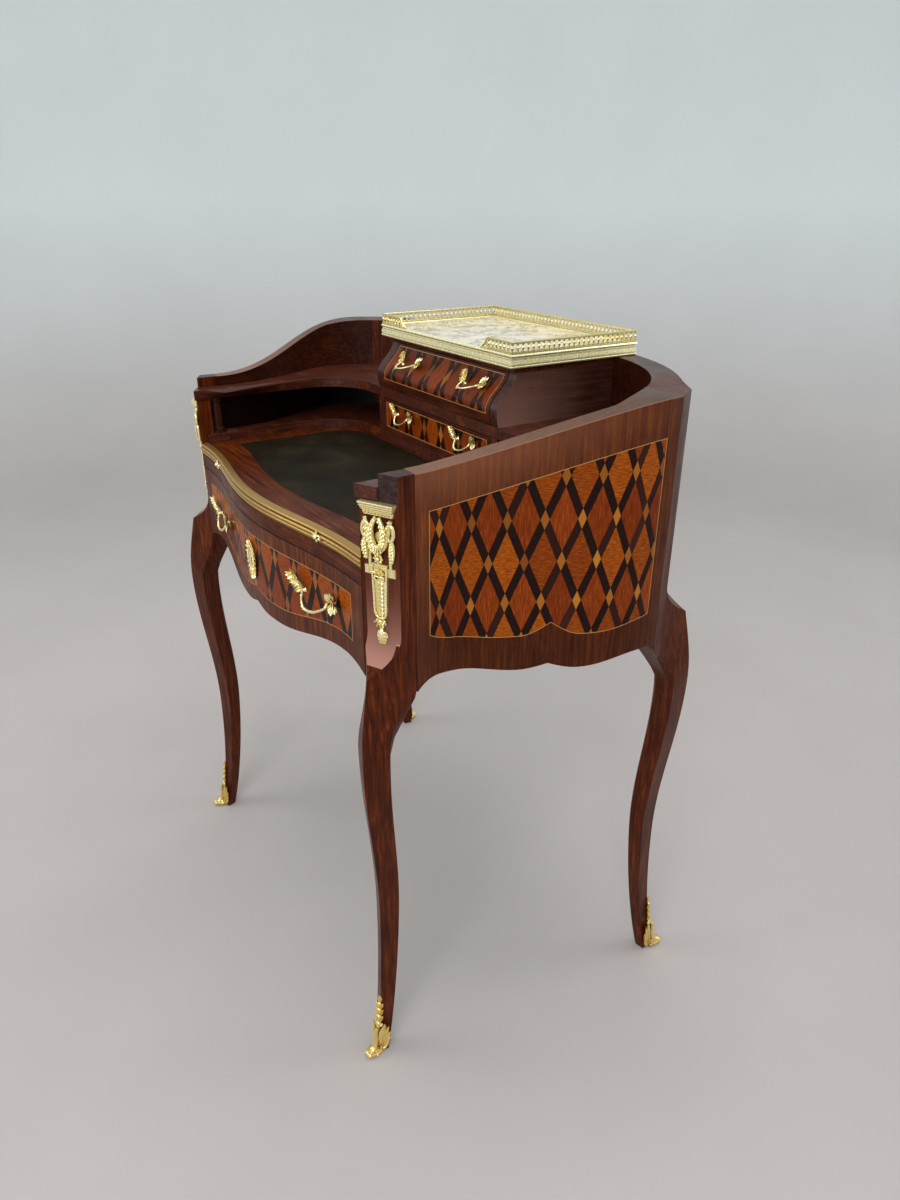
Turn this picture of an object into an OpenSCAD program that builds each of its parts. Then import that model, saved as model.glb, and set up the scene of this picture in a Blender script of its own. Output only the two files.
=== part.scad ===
/* [Node] */

// Which piece to draw, or all of them

/* [Heights] */

// Height of the brass gallery above the band round the marble
gallery_h = 16; // [8:0.5:40]
// Height of the leather writing surface
writing_h = 752; // [680:1:800]
// Height of the rim at the front ends of the sides
rim_front_h = 853; // [800:1:900]
// Height of the rim along the back
rim_back_h = 916; // [860:1:960]
// Height of the top face of the shelf
shelf_top = 838; // [800:1:880]
// Lowest level of the side aprons
apron_low = 588; // [540:1:640]
// Height of the two arches at the ends of each apron
apron_high = 598; // [550:1:650]
// Height of the pointed cusp in the middle of each apron
cusp_h = 596; // [550:1:650]
// Level at which the straight corner faces begin to scoop out
scoop_top = 666; // [600:1:720]
// Level of the point where the scoop meets the knee
scoop_tip = 615; // [560:1:680]
// Level of the widest part of the knee
knee_h = 510; // [420:1:580]
// Level of the slimmest part of the leg
waist_h = 250; // [150:1:350]

/* [Plan] */

// Half distance between the inner front corners of the front posts
front_half = 285; // [240:1:340]
// Front line of the straight ends of the front
front_y = -251; // [-300:1:-200]
// How far the middle of the front bows forward
front_bow = 28; // [0:1:60]
// Half length of the bowed part of the front
bow_half = 260; // [150:1:280]
// How far each side stands outside the inner corner of its front post
side_step = 45; // [30:1:80]
// How much wider each side stands at the back
side_flare = 83; // [0:1:120]
// Where the flare of the sides begins, front to back
flare_start = -180; // [-240:1:0]
// Length over which the sides flare
flare_run = 250; // [120:1:350]
// Rearmost line of the bowed back
back_y = 265; // [200:1:320]
// Fullness of the curve of the back
back_fullness = 3; // [2:0.1:5]
// Thickness of the side walls
side_t = 24; // [15:0.5:40]
// Thickness of the back wall at its middle
back_t = 41; // [15:0.5:60]
// Shift that puts the middle of the footprint over the origin
frame_shift = 22.4; // [-60:0.1:60]

/* [Posts and legs] */

// Turn of the corner posts away from straight ahead, in degrees
post_turn = 27; // [0:1:45]
// Turn of the back posts away from straight behind, in degrees
back_turn = 35; // [0:1:45]
// Half width of the flat canted face of a post
cant_half = 26.3; // [15:0.1:40]
// Middle of the canted front face, front to back
front_post_y = -238.5; // [-290:0.5:-180]
// Middle of the canted back face, in from the widest line of the side
back_post_in = 43; // [20:0.5:80]
// Middle of the canted back face, front to back
back_post_y = 152; // [100:0.5:220]
// Reach of each face of the knee from the post middle
knee_reach = 35.4; // [20:0.1:60]
// Reach of each face at the slimmest part
waist_reach = 20; // [5:0.1:50]
// Reach of each face at the toe
toe_reach = 34; // [20:0.1:70]
// Side of the square leg at the knee
knee_side = 34; // [20:0.1:60]
// Side of the square leg at the toe
toe_side = 16; // [12:0.1:40]
// Height at which the bracket begins to spread from the leg
bracket_from = 512; // [450:1:580]
// Fullness of the curve of the bracket
bracket_bend = 1.25; // [1:0.05:2]
// Joint line between a front post and its side wall
front_joint_y = -205; // [-230:1:-150]
// Joint line between a side wall and its back post
back_joint_y = 105; // [60:1:130]
// Joint line between the back wall and a back post, in from the widest line of the side
back_joint_in = 93; // [70:1:150]
// Length of the flat inner face of a front post
post_flat = 23; // [10:0.5:60]

/* [Tub interior] */

// Middle of the oval that rounds the inner back corners, in from the side near the front
oval_in = 210; // [150:1:300]
// Middle of that oval, front to back
oval_y = -20; // [-100:1:100]
// Half width of that oval
oval_rx = 268; // [150:1:350]
// Half depth of that oval
oval_ry = 244; // [150:1:350]
// Front line of the small case of drawers
case_front = 19; // [-40:1:80]
// Half width of the small case of drawers
case_half = 168; // [120:1:220]
// Thickness of the case sides
case_side_t = 16; // [8:0.5:30]
// Depth of the curved shelf along the side walls
shelf_side = 20; // [5:1:60]
// Clearance between the back corners of the case and the tub
case_clear = 0.75; // [0.1:0.05:10]
// Corner radius of the curved front of the shelves
hollow_r = 80; // [20:1:150]
// How far the upper shelf stands proud of the lower one
shelf_proud = 4; // [0:0.5:15]
// Thickness of the writing top
top_t = 17; // [10:0.5:30]
// Thickness of the pigeonhole floors and of the case floor
floor_t = 14; // [8:0.5:25]
// Thickness of the shelf
shelf_t = 15; // [8:0.5:25]
// Radius of the small columns
column_r = 11; // [5:0.5:20]

/* [Writing surface] */

// Width of the wood border in front of the leather
leather_border = 42; // [15:1:80]
// Width of the wood border beside the leather
leather_side = 33; // [15:1:80]
// Back edge of the leather
leather_back = 14; // [-60:1:18]
// Corner radius of the leather at the back
leather_r = 60; // [5:1:120]
// Thickness of the leather
leather_t = 1.2; // [0.6:0.1:3]
// Depth of the brass moulding, front to back
edge_d = 11; // [5:0.5:20]
// Height of the brass moulding
edge_h = 16; // [8:0.5:25]
// Distance of the small brass clasps from the ends of the front
clasp_in = 103; // [40:1:200]

/* [Frieze drawer] */

// Height of the rail over the drawer
rail_h = 19; // [10:0.5:40]
// Gap round the drawer fronts
gap = 1.5; // [0.5:0.1:3]
// Lowest level of the drawer front
frieze_low = 582; // [540:1:640]
// Level of the two arches at the ends of the drawer front
frieze_high = 607; // [560:1:650]
// Level of the small cusp in the middle of the drawer front
frieze_cusp = 590; // [560:1:640]
// Back face of the drawer front
frieze_back_face = -232; // [-245:1:-200]
// Distance between the drawer box and the inner corner of a front post
frieze_box_in = 42; // [20:1:100]
// Underside of the drawer box
frieze_box_low = 626; // [600:1:660]
// Height of the drawer box
frieze_box_h = 80; // [40:1:90]
// Back end of the drawer box
frieze_box_end = 120; // [40:1:150]
// Thickness of the drawer sides
drawer_side_t = 10; // [5:0.5:16]
// Thickness of the drawer bottoms
drawer_bottom_t = 5; // [3:0.5:10]
// Play between a drawer and what it runs in
play = 0.6; // [0.2:0.1:2]
// Thickness of the ledge under the drawer
runner_t = 11; // [5:0.5:20]

/* [Case drawers] */

// Thickness of the lower drawer front
lower_front_t = 16; // [8:0.5:25]
// Depth of the lower drawer, front face to back
lower_depth = 180; // [80:1:195]
// How far the top of the upper drawer lies behind its foot
ogee_set = 28; // [0:1:50]
// Depth of the upper drawer, foot of the front to back
upper_depth = 178; // [80:1:195]
// Thickness of the upper drawer front at its top
upper_front_t = 15; // [8:0.5:30]
// Thickness of the board under the marble
case_top_t = 8; // [4:0.5:20]

/* [Marble and gallery] */

// Half width of the brass band round the marble
band_half = 177.5; // [140:0.5:220]
// Front face of the brass band
band_front = 31.4; // [-10:0.1:80]
// Back face of the brass band
band_back = 253.8; // [200:0.1:270]
// Height of the brass band
band_h = 17; // [8:0.5:30]
// Width of the brass band seen from above
band_w = 7; // [3:0.5:15]
// Thickness of the pierced gallery
gallery_t = 2.4; // [1:0.1:6]
// Height of the rails of the gallery
gallery_rail_h = 3; // [1.5:0.1:6]
// Distance between two balusters
baluster_pitch = 9.5; // [6:0.1:20]
// Radius of a baluster
baluster_r = 1.5; // [0.6:0.1:3]
// Length of the gallery returns along the front
return_len = 55; // [10:1:120]
// Radius of the scroll that ends each return
scroll_r = 8; // [3:0.5:12]

/* [Mounts] */

// Distance of the frieze drawer handles from the ends of the drawer
frieze_handle_in = 113; // [60:1:200]
// Height of the posts of the frieze drawer handles
frieze_handle_z = 658; // [600:1:700]
// Distance of the small drawer handles from the outside of the case
small_handle_in = 80; // [40:1:120]
// Width of the bail of a frieze drawer handle
frieze_handle_w = 56; // [40:1:140]
// Width of the bail of a small drawer handle
small_handle_w = 38; // [30:1:100]
// Length of a leaf spray on a frieze drawer handle
frieze_leaf = 34; // [15:1:50]
// Length of a leaf spray on a small drawer handle
small_leaf = 24; // [10:1:40]
// Radius of the bail of a handle
bail_r = 2.4; // [1:0.1:5]
// Drop of the bail of a frieze handle
bail_drop = 20; // [10:1:50]
// How far the bail stands off the drawer front
bail_out = 12; // [8:0.5:30]
// Top of the corner mounts
chute_top = 822; // [780:1:850]
// Bottom tip of the corner mounts
chute_tip = 654; // [600:1:700]
// Half width of the capital of a corner mount
chute_half = 23; // [10:0.5:26]
// Relief of the corner mounts
chute_t = 8; // [3:0.5:15]
// Height of the leaf of a foot mount
sabot_h = 104; // [40:1:150]
// Thickness of a foot mount
sabot_t = 2.5; // [1:0.1:5]
// Reach of the scrolled toe in front of the foot
toe_scroll = 22; // [10:1:50]
// Half width of the keyhole plate
plate_half = 16; // [8:0.5:30]
// Half height of the keyhole plate
plate_tall = 30; // [15:0.5:50]
// Middle of the keyhole plate
plate_z = 655; // [600:1:700]

/* [Hidden] */

wood = [0.32, 0.14, 0.09];
dark_wood = [0.24, 0.11, 0.08];
red_wood = [0.45, 0.2, 0.1];
brass = [0.85, 0.74, 0.4];
marble = [0.88, 0.85, 0.78];
leather = [0.13, 0.13, 0.1];
fit = 0.2;
far = 900;
cv = cos(post_turn);
sv = sin(post_turn);
cb = cos(back_turn);
sb = sin(back_turn);
side_front = front_half + side_step;
side_wide = side_front + side_flare;
front_post_x = front_half + cant_half * cv + 0.067;
back_post_x = side_wide - back_post_in;
back_joint_x = side_wide - back_joint_in;
back_half = back_post_x - cant_half * cb;
back_drop = back_y - back_post_y - cant_half * sb;
oval_x = side_front - oval_in;
hollow_half = side_front - side_t - shelf_side;
leather_half = front_half - leather_side;
clasp_x = front_half - clasp_in;
frieze_box_half = front_half - frieze_box_in;
frieze_handle_x = front_half - frieze_handle_in;
small_handle_x = case_half - small_handle_in;
case_back = oval_y + oval_ry * sqrt(1 - pow((case_half - oval_x) / oval_rx, 2)) - case_clear;
case_depth = case_back - case_front;
cusp_y = -45;
top_low = writing_h - top_t;
rail_low = top_low - rail_h;
shelf_low = shelf_top - shelf_t;
floor_top = writing_h + floor_t;
case_top_low = rim_back_h - case_top_t;
band_top = rim_back_h + band_h;
gallery_top = band_top + 1 + gallery_h;

// Blend that leaves and arrives level as t runs from 0 to 1.
function ease(t) = t <= 0 ? 0 : t >= 1 ? 1 : (1 - cos(180 * t)) / 2;

// Front line of the bowed front at a distance x from the middle.
function front_at(x) = abs(x) >= bow_half ? front_y : front_y - front_bow * pow(cos(90 * x / bow_half), 2);

// Outer half width of the sides at a place y.
function side_at(y) = side_front + side_flare * ease((y - flare_start) / flare_run)
  + (y < flare_start ? 0.0009 * pow(y - flare_start, 2) : 0)
  - (y > flare_start + flare_run ? 0.0024 * pow(y - flare_start - flare_run, 2) : 0);

// Back line of the bowed back at a distance x from the middle.
function back_at(x) = back_y - back_drop * pow(abs(x) / back_half, back_fullness);

// Half width of the space inside the tub at a place y.
function oval_at(y) = oval_x + oval_rx * sqrt(max(0, 1 - pow((y - oval_y) / oval_ry, 2)));
function inner_at(y) = y < oval_y ? side_at(y) - side_t : min(side_at(y) - side_t, oval_at(y));

// Height of the rim of the sides.
function rim_at(y) = rim_front_h + (rim_back_h - rim_front_h) * ease((y + 200) / 290);

// Underside of the side aprons: two arches, two low lobes and a cusp.
function apron_at(y) = let (d = abs(y - cusp_y))
  d < 35 ? cusp_h - (cusp_h - apron_low) * sin(90 * d / 35)
  : d < 110 ? apron_low + (apron_high - apron_low) * ease((d - 35) / 75)
  : apron_high - (d > 125 ? 16 * pow((d - 125) / 35, 2.5) : 0);

// Underside of the drawer front and of the back wall.
function frieze_at(x) = let (d = abs(x))
  d < 40 ? frieze_cusp - (frieze_cusp - frieze_low) * sin(90 * d / 40)
  : d < 235 ? frieze_low + (frieze_high - frieze_low) * ease((d - 60) / 170)
  : frieze_high - 12 * pow((d - 235) / 50, 2);

// Reach of each outer leg face, and of each inner leg face, at height z.
function leg_out(z) = z > knee_h
  ? knee_reach - (knee_reach - cant_half / sqrt(2)) * ease((z - knee_h) / (scoop_top + 20 - knee_h))
  : z > waist_h ? waist_reach + (knee_reach - waist_reach) * ease((z - waist_h) / (knee_h - waist_h))
  : waist_reach + (toe_reach - waist_reach) * pow((waist_h - z) / waist_h, 2);
function leg_width(z) = toe_side + (knee_side - toe_side) * pow(min(1, max(0, z) / knee_h), 0.8);

// Front of the ogee drawer above its foot, as a set-back from the case front.
function ogee_at(z) = let (t = (z - shelf_top) / (case_top_low - shelf_top))
  t < 0.3 ? -3 * sin(180 * t / 0.6) : -3 + (ogee_set + 3) * ease((t - 0.3) / 0.7);

module placed() {
  translate([0, frame_shift, 0]) children();
}

module both() {
  children();
  mirror([1, 0, 0]) children();
}

// Plan of everything inside the outer line of the desk, right half and left half.
module outer_plan() {
  y0 = front_joint_y - 40;
  polygon(concat(
    [for (i = [0:60]) let (y = y0 + i * (back_joint_y - y0) / 60) [side_at(y), y]],
    [[back_post_x + cant_half * cb, back_post_y - cant_half * sb]],
    [for (i = [0:60]) let (x = back_half - i * back_half / 30) [x, back_at(x)]],
    [[-back_post_x - cant_half * cb, back_post_y - cant_half * sb]],
    [for (i = [60:-1:0]) let (y = y0 + i * (back_joint_y - y0) / 60) [-side_at(y), y]]
  ));
}

// Plan of the space inside the tub, drawn in by a margin m.
module inner_plan(m) {
  polygon(concat(
    [[front_half - m, front_y - 60], [front_half - m, front_joint_y]],
    [for (i = [0:40]) let (y = front_joint_y + i * (oval_y + oval_ry * 0.98 - front_joint_y) / 40)
      [inner_at(y) - m, y]],
    [[oval_x, oval_y + oval_ry - m], [-oval_x, oval_y + oval_ry - m]],
    [for (i = [40:-1:0]) let (y = front_joint_y + i * (oval_y + oval_ry * 0.98 - front_joint_y) / 40)
      [-inner_at(y) + m, y]],
    [[-front_half + m, front_joint_y], [-front_half + m, front_y - 60]]
  ));
}

// Plan of the curved hollow in front of the shelves.
module hollow_plan(w, back) {
  polygon(concat(
    [[-w, front_y - 100], [w, front_y - 100]],
    [for (a = [0:6:90]) [w - hollow_r + hollow_r * cos(a), back - hollow_r + hollow_r * sin(a)]],
    [for (a = [90:6:180]) [-w + hollow_r + hollow_r * cos(a), back - hollow_r + hollow_r * sin(a)]]
  ));
}

// A band that follows the front, from an offset a to an offset b behind the front line.
module front_band(w, a, b) {
  polygon(concat(
    [for (i = [0:48]) let (x = -w + i * 2 * w / 48) [x, front_at(x) + a]],
    [for (i = [48:-1:0]) let (x = -w + i * 2 * w / 48) [x, front_at(x) + b]]
  ));
}

// A band from the front line back to a straight line.
module front_block(w, a, back) {
  polygon(concat([for (i = [0:48]) let (x = -w + i * 2 * w / 48) [x, front_at(x) + a]], [[w, back],
    [-w, back]]));
}

// Solid between two heights on a flat outline.
module slab(z0, z1) {
  translate([0, 0, z0]) linear_extrude(z1 - z0) children();
}

// Outline of one face of the leg, drawn in by a margin m.
module leg_outline(m, z0, z1, steps) {
  polygon(concat(
    [for (i = [0:steps]) let (z = z0 + i * (z1 - z0) / steps) [leg_out(z) - m, z]],
    [for (i = [steps:-1:0]) let (z = z0 + i * (z1 - z0) / steps) [leg_out(z) - leg_width(z) + m, z]]
  ));
}

// Square curved leg in the frame of its post: the arris points to -Y.
module leg_square(m, z0, z1, steps) {
  rotate([0, 0, -45]) intersection() {
    translate([0, far / 2, 0]) rotate([90, 0, 0]) linear_extrude(far) leg_outline(m, z0, z1, steps);
    mirror([1, 1, 0]) translate([0, far / 2, 0]) rotate([90, 0, 0])
      linear_extrude(far) leg_outline(m, z0, z1, steps);
  }
}

// Everything outside the scooped canted face, in the frame of the post.
module scoop_cut() {
  tip = leg_out(scoop_tip) * sqrt(2);
  translate([-far / 2, 0, 0]) rotate([90, 0, 90]) linear_extrude(far) polygon(concat(
    [[-300, scoop_tip], [-tip - 0.01, scoop_tip]],
    [for (i = [1:16]) let (a = i / 16) [-tip * pow(1 - a, 2.4), scoop_tip + (scoop_top - scoop_tip) * a]],
    [[0, 1000], [-300, 1000]]
  ));
}

function mix(a, b, t) = a + (b - a) * t;
function bracket_at(z, top) = pow(min(1, max(0, (z - bracket_from) / (top - bracket_from))), bracket_bend);

// Corners of the leg at height z: square below the knee, and the plan of the post above the brackets.
function leg_ring(z, ends, side_top, other_top) = let (
    a = leg_out(z) * sqrt(2),
    w = leg_width(z) / sqrt(2),
    s = mix([w, w - a], [cant_half, 0], ease((z - knee_h) / (scoop_top - 20 - knee_h))),
    f = mix([-w, w - a], [-cant_half, 0], ease((z - knee_h) / (apron_high + 7 - knee_h))),
    u = [0, 2 * w - a],
    b = bracket_at(z, side_top),
    c = bracket_at(z, other_top))
  [[0, -a], s, mix(mix(s, u, 0.3), ends[0], b), mix(mix(s, u, 0.9), ends[1], min(b, c)),
    mix(mix(f, u, 0.9), ends[2], min(b, c)), mix(mix(f, u, 0.4), ends[3], c), mix(mix(f, u, 0.2), ends[4], c), f];

// Leg, knee and brackets up to the top of the scoop, in the frame of the post.
module leg_curve(ends, side_top, other_top) {
  levels = [for (i = [0:44]) i * scoop_top / 44];
  rings = [for (z = levels) leg_ring(z, ends, side_top, other_top)];
  difference() {
    polyhedron(
      points = [for (i = [0:44]) for (q = rings[i]) [q[0], q[1], levels[i]]],
      faces = concat(
        [[for (j = [0:7]) j]],
        [for (i = [0:43]) for (j = [0:7]) [8 * i + j, 8 * i + 8 + j, 8 * i + 8 + (j + 1) % 8]],
        [for (i = [0:43]) for (j = [0:7]) [8 * i + j, 8 * i + 8 + (j + 1) % 8, 8 * i + (j + 1) % 8]],
        [[for (j = [7:-1:0]) 352 + j]]
      )
    );
    scoop_cut();
  }
}

function to_front(x, y) = [(x - front_post_x) * cv + (y - front_post_y) * sv,
  (y - front_post_y) * cv - (x - front_post_x) * sv];
function to_back(x, y) = [(x - back_post_x) * cb - (y - back_post_y) * sb,
  -(y - back_post_y) * cb - (x - back_post_x) * sb];

module at_front_post() {
  translate([front_post_x, front_post_y, 0]) rotate([0, 0, post_turn]) children();
}

module at_back_post() {
  translate([back_post_x, back_post_y, 0]) mirror([0, 1, 0]) rotate([0, 0, back_turn]) children();
}

// Plan of a front post below the writing top.
module front_post_plan() {
  polygon(concat(
    [[front_half, front_post_y - cant_half * sv], [front_post_x + cant_half * cv, front_post_y
      + cant_half * sv]],
    [for (i = [0:3]) let (y = front_post_y + cant_half * sv
      + i * (front_joint_y - front_post_y - cant_half * sv) / 3) if (i > 0) [side_at(y), y]],
    [[front_half, front_joint_y]]
  ));
}

// Plan of a front post above the writing top, with room for the column.
module front_post_upper_plan() {
  difference() {
    front_post_plan();
    translate([front_half - 20, front_post_y - cant_half * sv + post_flat])
      square([side_front - side_t - front_half + 20, 100]);
  }
}

module leg_front() {
  wall_x = side_front - side_t;
  y = front_joint_y;
  corner = front_post_y - cant_half * sv;
  ends = [to_front(side_at(y), y), to_front(front_half + 8, y), to_front(front_half, y - 8),
    to_front(front_half, y - 20), to_front(front_half, (y - 20 + corner) / 2)];
  union() {
    at_front_post() leg_curve(ends, apron_at(y), apron_high);
    slab(scoop_top, writing_h) front_post_plan();
    slab(writing_h - 1, shelf_low) front_post_upper_plan();
    intersection() {
      slab(shelf_low - 1, rim_at(y)) front_post_upper_plan();
      translate([wall_x + 3, -400, 0]) cube([100, 400, 1000]);
    }
  }
}

module back_post_plan() {
  difference() {
    intersection() {
      outer_plan();
      translate([back_joint_x, back_joint_y]) square([200, 200]);
    }
    inner_plan(0);
  }
}

module leg_back() {
  y = back_joint_y;
  x = back_joint_x;
  m = (x + back_half) / 2;
  across = oval_y + oval_ry * sqrt(1 - pow((x - oval_x) / oval_rx, 2));
  ends = [to_back(side_at(y), y), to_back(inner_at(y) + 2, y), to_back(x, across + 2),
    to_back(x, back_at(x)), to_back(m, back_at(m))];
  union() {
    at_back_post() leg_curve(ends, apron_at(y), frieze_at(front_half));
    slab(scoop_top - 1, rim_back_h) back_post_plan();
  }
}

// Side wall: the band of the plan cut by the side elevation.
module side_panel() {
  intersection() {
    slab(500, 1000) difference() {
      intersection() {
        outer_plan();
        translate([0, front_joint_y]) square([600, back_joint_y - front_joint_y]);
      }
      inner_plan(0);
      translate([-1, -500]) square([front_half, 1000]);
    }
    rotate([90, 0, 90]) linear_extrude(600) polygon(concat(
      [for (i = [0:62]) let (y = front_joint_y + i * (back_joint_y - front_joint_y) / 62) [y, apron_at(y)]],
      [for (i = [40:-1:0]) let (y = front_joint_y + i * (back_joint_y - front_joint_y) / 40) [y, rim_at(y)]]
    ));
  }
}

module back_panel() {
  color(wood) intersection() {
    slab(500, rim_back_h) difference() {
      intersection() {
        outer_plan();
        translate([-back_joint_x, 0]) square([2 * back_joint_x, 400]);
      }
      inner_plan(0);
    }
    translate([0, 600, 0]) rotate([90, 0, 0]) linear_extrude(600) polygon(concat(
      [for (i = [0:64]) let (x = -back_joint_x + i * back_joint_x / 32)
        [x, frieze_at(x * front_half / back_joint_x)]],
      [[back_joint_x, 1000], [-back_joint_x, 1000]]
    ));
  }
}

module front_rail() {
  color(dark_wood) difference() {
    slab(rail_low, top_low) front_block(front_half - fit, 0, front_joint_y - 1);
    slab(rail_low - 1, rail_low + 9) translate([-7, frieze_back_face + 3.2]) square([14, 5.6]);
  }
}

module writing_top() {
  color(dark_wood) difference() {
    slab(top_low, writing_h) intersection() {
      inner_plan(fit);
      union() {
        front_block(front_half - fit, edge_d, 0);
        translate([-500, -200]) square([1000, 500]);
      }
    }
    slab(writing_h - leather_t, writing_h + 1) leather_plan(0);
  }
}

module leather_plan(m) {
  w = leather_half - m;
  polygon(concat(
    [for (i = [0:40]) let (x = -w + i * 2 * w / 40) [x, front_at(x) + edge_d + leather_border + m]],
    [for (a = [0:9:90]) [w - leather_r + leather_r * cos(a), leather_back - m - leather_r
      + leather_r * sin(a)]],
    [for (a = [90:9:180]) [-w + leather_r + leather_r * cos(a), leather_back - m - leather_r
      + leather_r * sin(a)]]
  ));
}

module leather_inset() {
  color(leather) slab(writing_h - leather_t, writing_h) leather_plan(0.3);
}

module edge_moulding() {
  color(brass) union() {
    slab(top_low, writing_h - edge_h + 3) front_band(front_half - fit, 0.5, edge_d - fit);
    slab(writing_h - edge_h + 3, writing_h - 4) front_band(front_half - fit, -1.5, edge_d - fit);
    slab(writing_h - 4, writing_h - 1) front_band(front_half - fit, -0.5, edge_d - fit);
    slab(writing_h - 1, writing_h + 1) front_band(front_half - fit, 1.5, edge_d - fit);
  }
}

module edge_clasps() {
  turn = atan((front_at(clasp_x + 1) - front_at(clasp_x - 1)) / 2);
  mid = writing_h - edge_h / 2 - 1;
  color(brass) both() translate([clasp_x, front_at(clasp_x) - 1.8, 0]) rotate([0, 0, turn]) union() {
    translate([-4, -2.2, writing_h - edge_h + 1]) cube([8, 2.2, edge_h - 4]);
    translate([0, -3.4, mid]) sphere(3.4, $fn = 24);
    translate([-9, -1.4, mid - 2]) cube([18, 1.4, 4]);
  }
}

module frieze_runners() {
  ledge_in = frieze_box_half - 14;
  color(red_wood) both() intersection() {
    union() {
      translate([ledge_in, frieze_back_face + 5, frieze_box_low - play - runner_t])
        cube([front_half - fit - ledge_in, 500, runner_t]);
      translate([frieze_box_half + play, frieze_back_face + 5, frieze_box_low - play - 1])
        cube([front_half - fit - frieze_box_half - play, 500, 46]);
    }
    slab(500, 800) inner_plan(fit);
  }
}

module pigeonhole_floor() {
  y0 = front_post_y - cant_half * sv;
  y1 = y0 + post_flat + fit;
  slab(writing_h, floor_top) union() {
    difference() {
      inner_plan(fit);
      hollow_plan(hollow_half, case_front + 2);
      translate([-500, -400]) square([500 + case_half + fit, 900]);
      translate([0, front_y - 100]) square([400, y1 - front_y + 100]);
    }
    translate([front_half - 4, y0 + edge_d + 1]) square([4 - fit, post_flat + 6 - edge_d]);
    translate([front_half - 4, y1]) square([side_front - side_t - front_half + 3, front_joint_y + 2 - y1]);
  }
}

// Line of the canted front face at a place x, moved forward by a margin m.
function cant_at(x, m) = front_post_y + (x - front_post_x) * sv / cv - m;

module shelf() {
  w = hollow_half - shelf_proud;
  wall = side_front - side_t - fit;
  tip = wall + 3;
  y = front_joint_y;
  color(dark_wood) slab(shelf_low, shelf_top) difference() {
    union() {
      difference() {
        inner_plan(fit);
        translate([-500, -500]) square([1000, 500 + y + 4]);
      }
      both() polygon([[w - 10, y + 18], [w - 10, cant_at(w - 10, 2)], [tip, cant_at(tip, 2)], [tip, y - fit],
        [wall, y - fit], [wall, y + 18]]);
    }
    hollow_plan(w, case_front - 0.5);
  }
}

module column() {
  translate([side_front - side_t - column_r - fit, front_post_y - cant_half * sv + post_flat
    + column_r + fit, floor_top])
    cylinder(r = column_r, h = shelf_low - floor_top, $fn = 48);
}

module divider() {
  translate([case_half - case_side_t, case_front, writing_h])
    cube([case_side_t, case_depth, shelf_low - writing_h]);
}

module case_floor() {
  w = case_half - case_side_t - fit;
  color(red_wood) translate([-w, case_front, writing_h]) cube([2 * w, case_depth, floor_t]);
}

// Side of the upper case with its curved front edge.
module case_side() {
  translate([case_half - case_side_t, 0, 0]) rotate([90, 0, 90]) linear_extrude(case_side_t) polygon(concat(
    [for (i = [0:30]) let (z = shelf_top + i * (case_top_low - shelf_top) / 30) [case_front
      + ogee_at(z) + 1, z]],
    [[case_front + case_depth, case_top_low], [case_front + case_depth, shelf_top]]
  ));
}

module case_top() {
  color(dark_wood) translate([-case_half, case_front + ogee_set - 2, case_top_low])
    cube([2 * case_half, case_depth + 2 - ogee_set, case_top_t]);
}

module marble_slab() {
  m = band_w + 0.3;
  color(marble) translate([-band_half + m, band_front + m, rim_back_h]) cube([2 * (band_half - m),
    band_back - band_front - 2 * m, band_h]);
}

module band_ring(inset, z0, z1) {
  difference() {
    translate([-band_half + inset, band_front + inset, z0]) cube([2 * (band_half - inset),
      band_back - band_front - 2 * inset, z1 - z0]);
    translate([-band_half + band_w, band_front + band_w, z0 - 1]) cube([2 * (band_half - band_w),
      band_back - band_front - 2 * band_w, z1 - z0 + 2]);
  }
}

module marble_band() {
  color(brass) union() {
    band_ring(1.5, rim_back_h, rim_back_h + 4);
    band_ring(0, rim_back_h + 4, band_top - 6);
    band_ring(2, band_top - 6, band_top - 3);
    band_ring(1, band_top - 3, band_top + 1);
  }
}

// One rail of the gallery, with its two returns along the front.
module gallery_rail(z0, h) {
  w = band_half - 2;
  f = band_front + 2;
  b = band_back - 2;
  translate([-w, b - gallery_t, z0]) cube([2 * w, gallery_t, h]);
  both() union() {
    translate([w - gallery_t, f, z0]) cube([gallery_t, b - f, h]);
    translate([w - return_len, f, z0]) cube([return_len, gallery_t, h]);
  }
}

module gallery_rails() {
  f = band_front + 2;
  color(brass) union() {
    gallery_rail(band_top + 1, gallery_rail_h);
    gallery_rail(gallery_top - gallery_rail_h, gallery_rail_h);
    both() translate([band_half - 2 - return_len + 0.5, f, band_top + 1]) rotate([-90, 0, 0])
      intersection() {
      difference() {
        cylinder(r = gallery_top - band_top - 1, h = gallery_t, $fn = 64);
        translate([0, 0, -1]) cylinder(r = gallery_top - band_top - 4.5, h = 5, $fn = 64);
      }
      translate([-60, -60, -1]) cube([60, 60, 10]);
    }
    both() translate([band_half - 2 - return_len - gallery_top + band_top + 4, f, band_top + 5.5])
      rotate([-90, 0, 0]) cylinder(r = 4.4, h = gallery_t, $fn = 32);
  }
}

module gallery_balusters() {
  z0 = band_top + 1 + gallery_rail_h;
  h = gallery_top - gallery_rail_h - z0;
  w = band_half - 2 - gallery_t / 2;
  f = band_front + 2 + gallery_t / 2;
  b = band_back - 2 - gallery_t / 2;
  across = floor(2 * w / baluster_pitch);
  deep = floor((b - f) / baluster_pitch);
  short = floor((return_len - 4) / baluster_pitch);
  color(brass) union() {
    for (i = [0:across]) translate([-w + i * 2 * w / across, b, z0])
      cylinder(r = baluster_r, h = h, $fn = 12);
    both() for (i = [0:deep - 1]) translate([w, f + i * (b - f) / deep, z0])
      cylinder(r = baluster_r, h = h, $fn = 12);
    both() for (i = [1:short]) translate([w - i * baluster_pitch, f, z0])
      cylinder(r = baluster_r, h = h, $fn = 12);
  }
}

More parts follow.
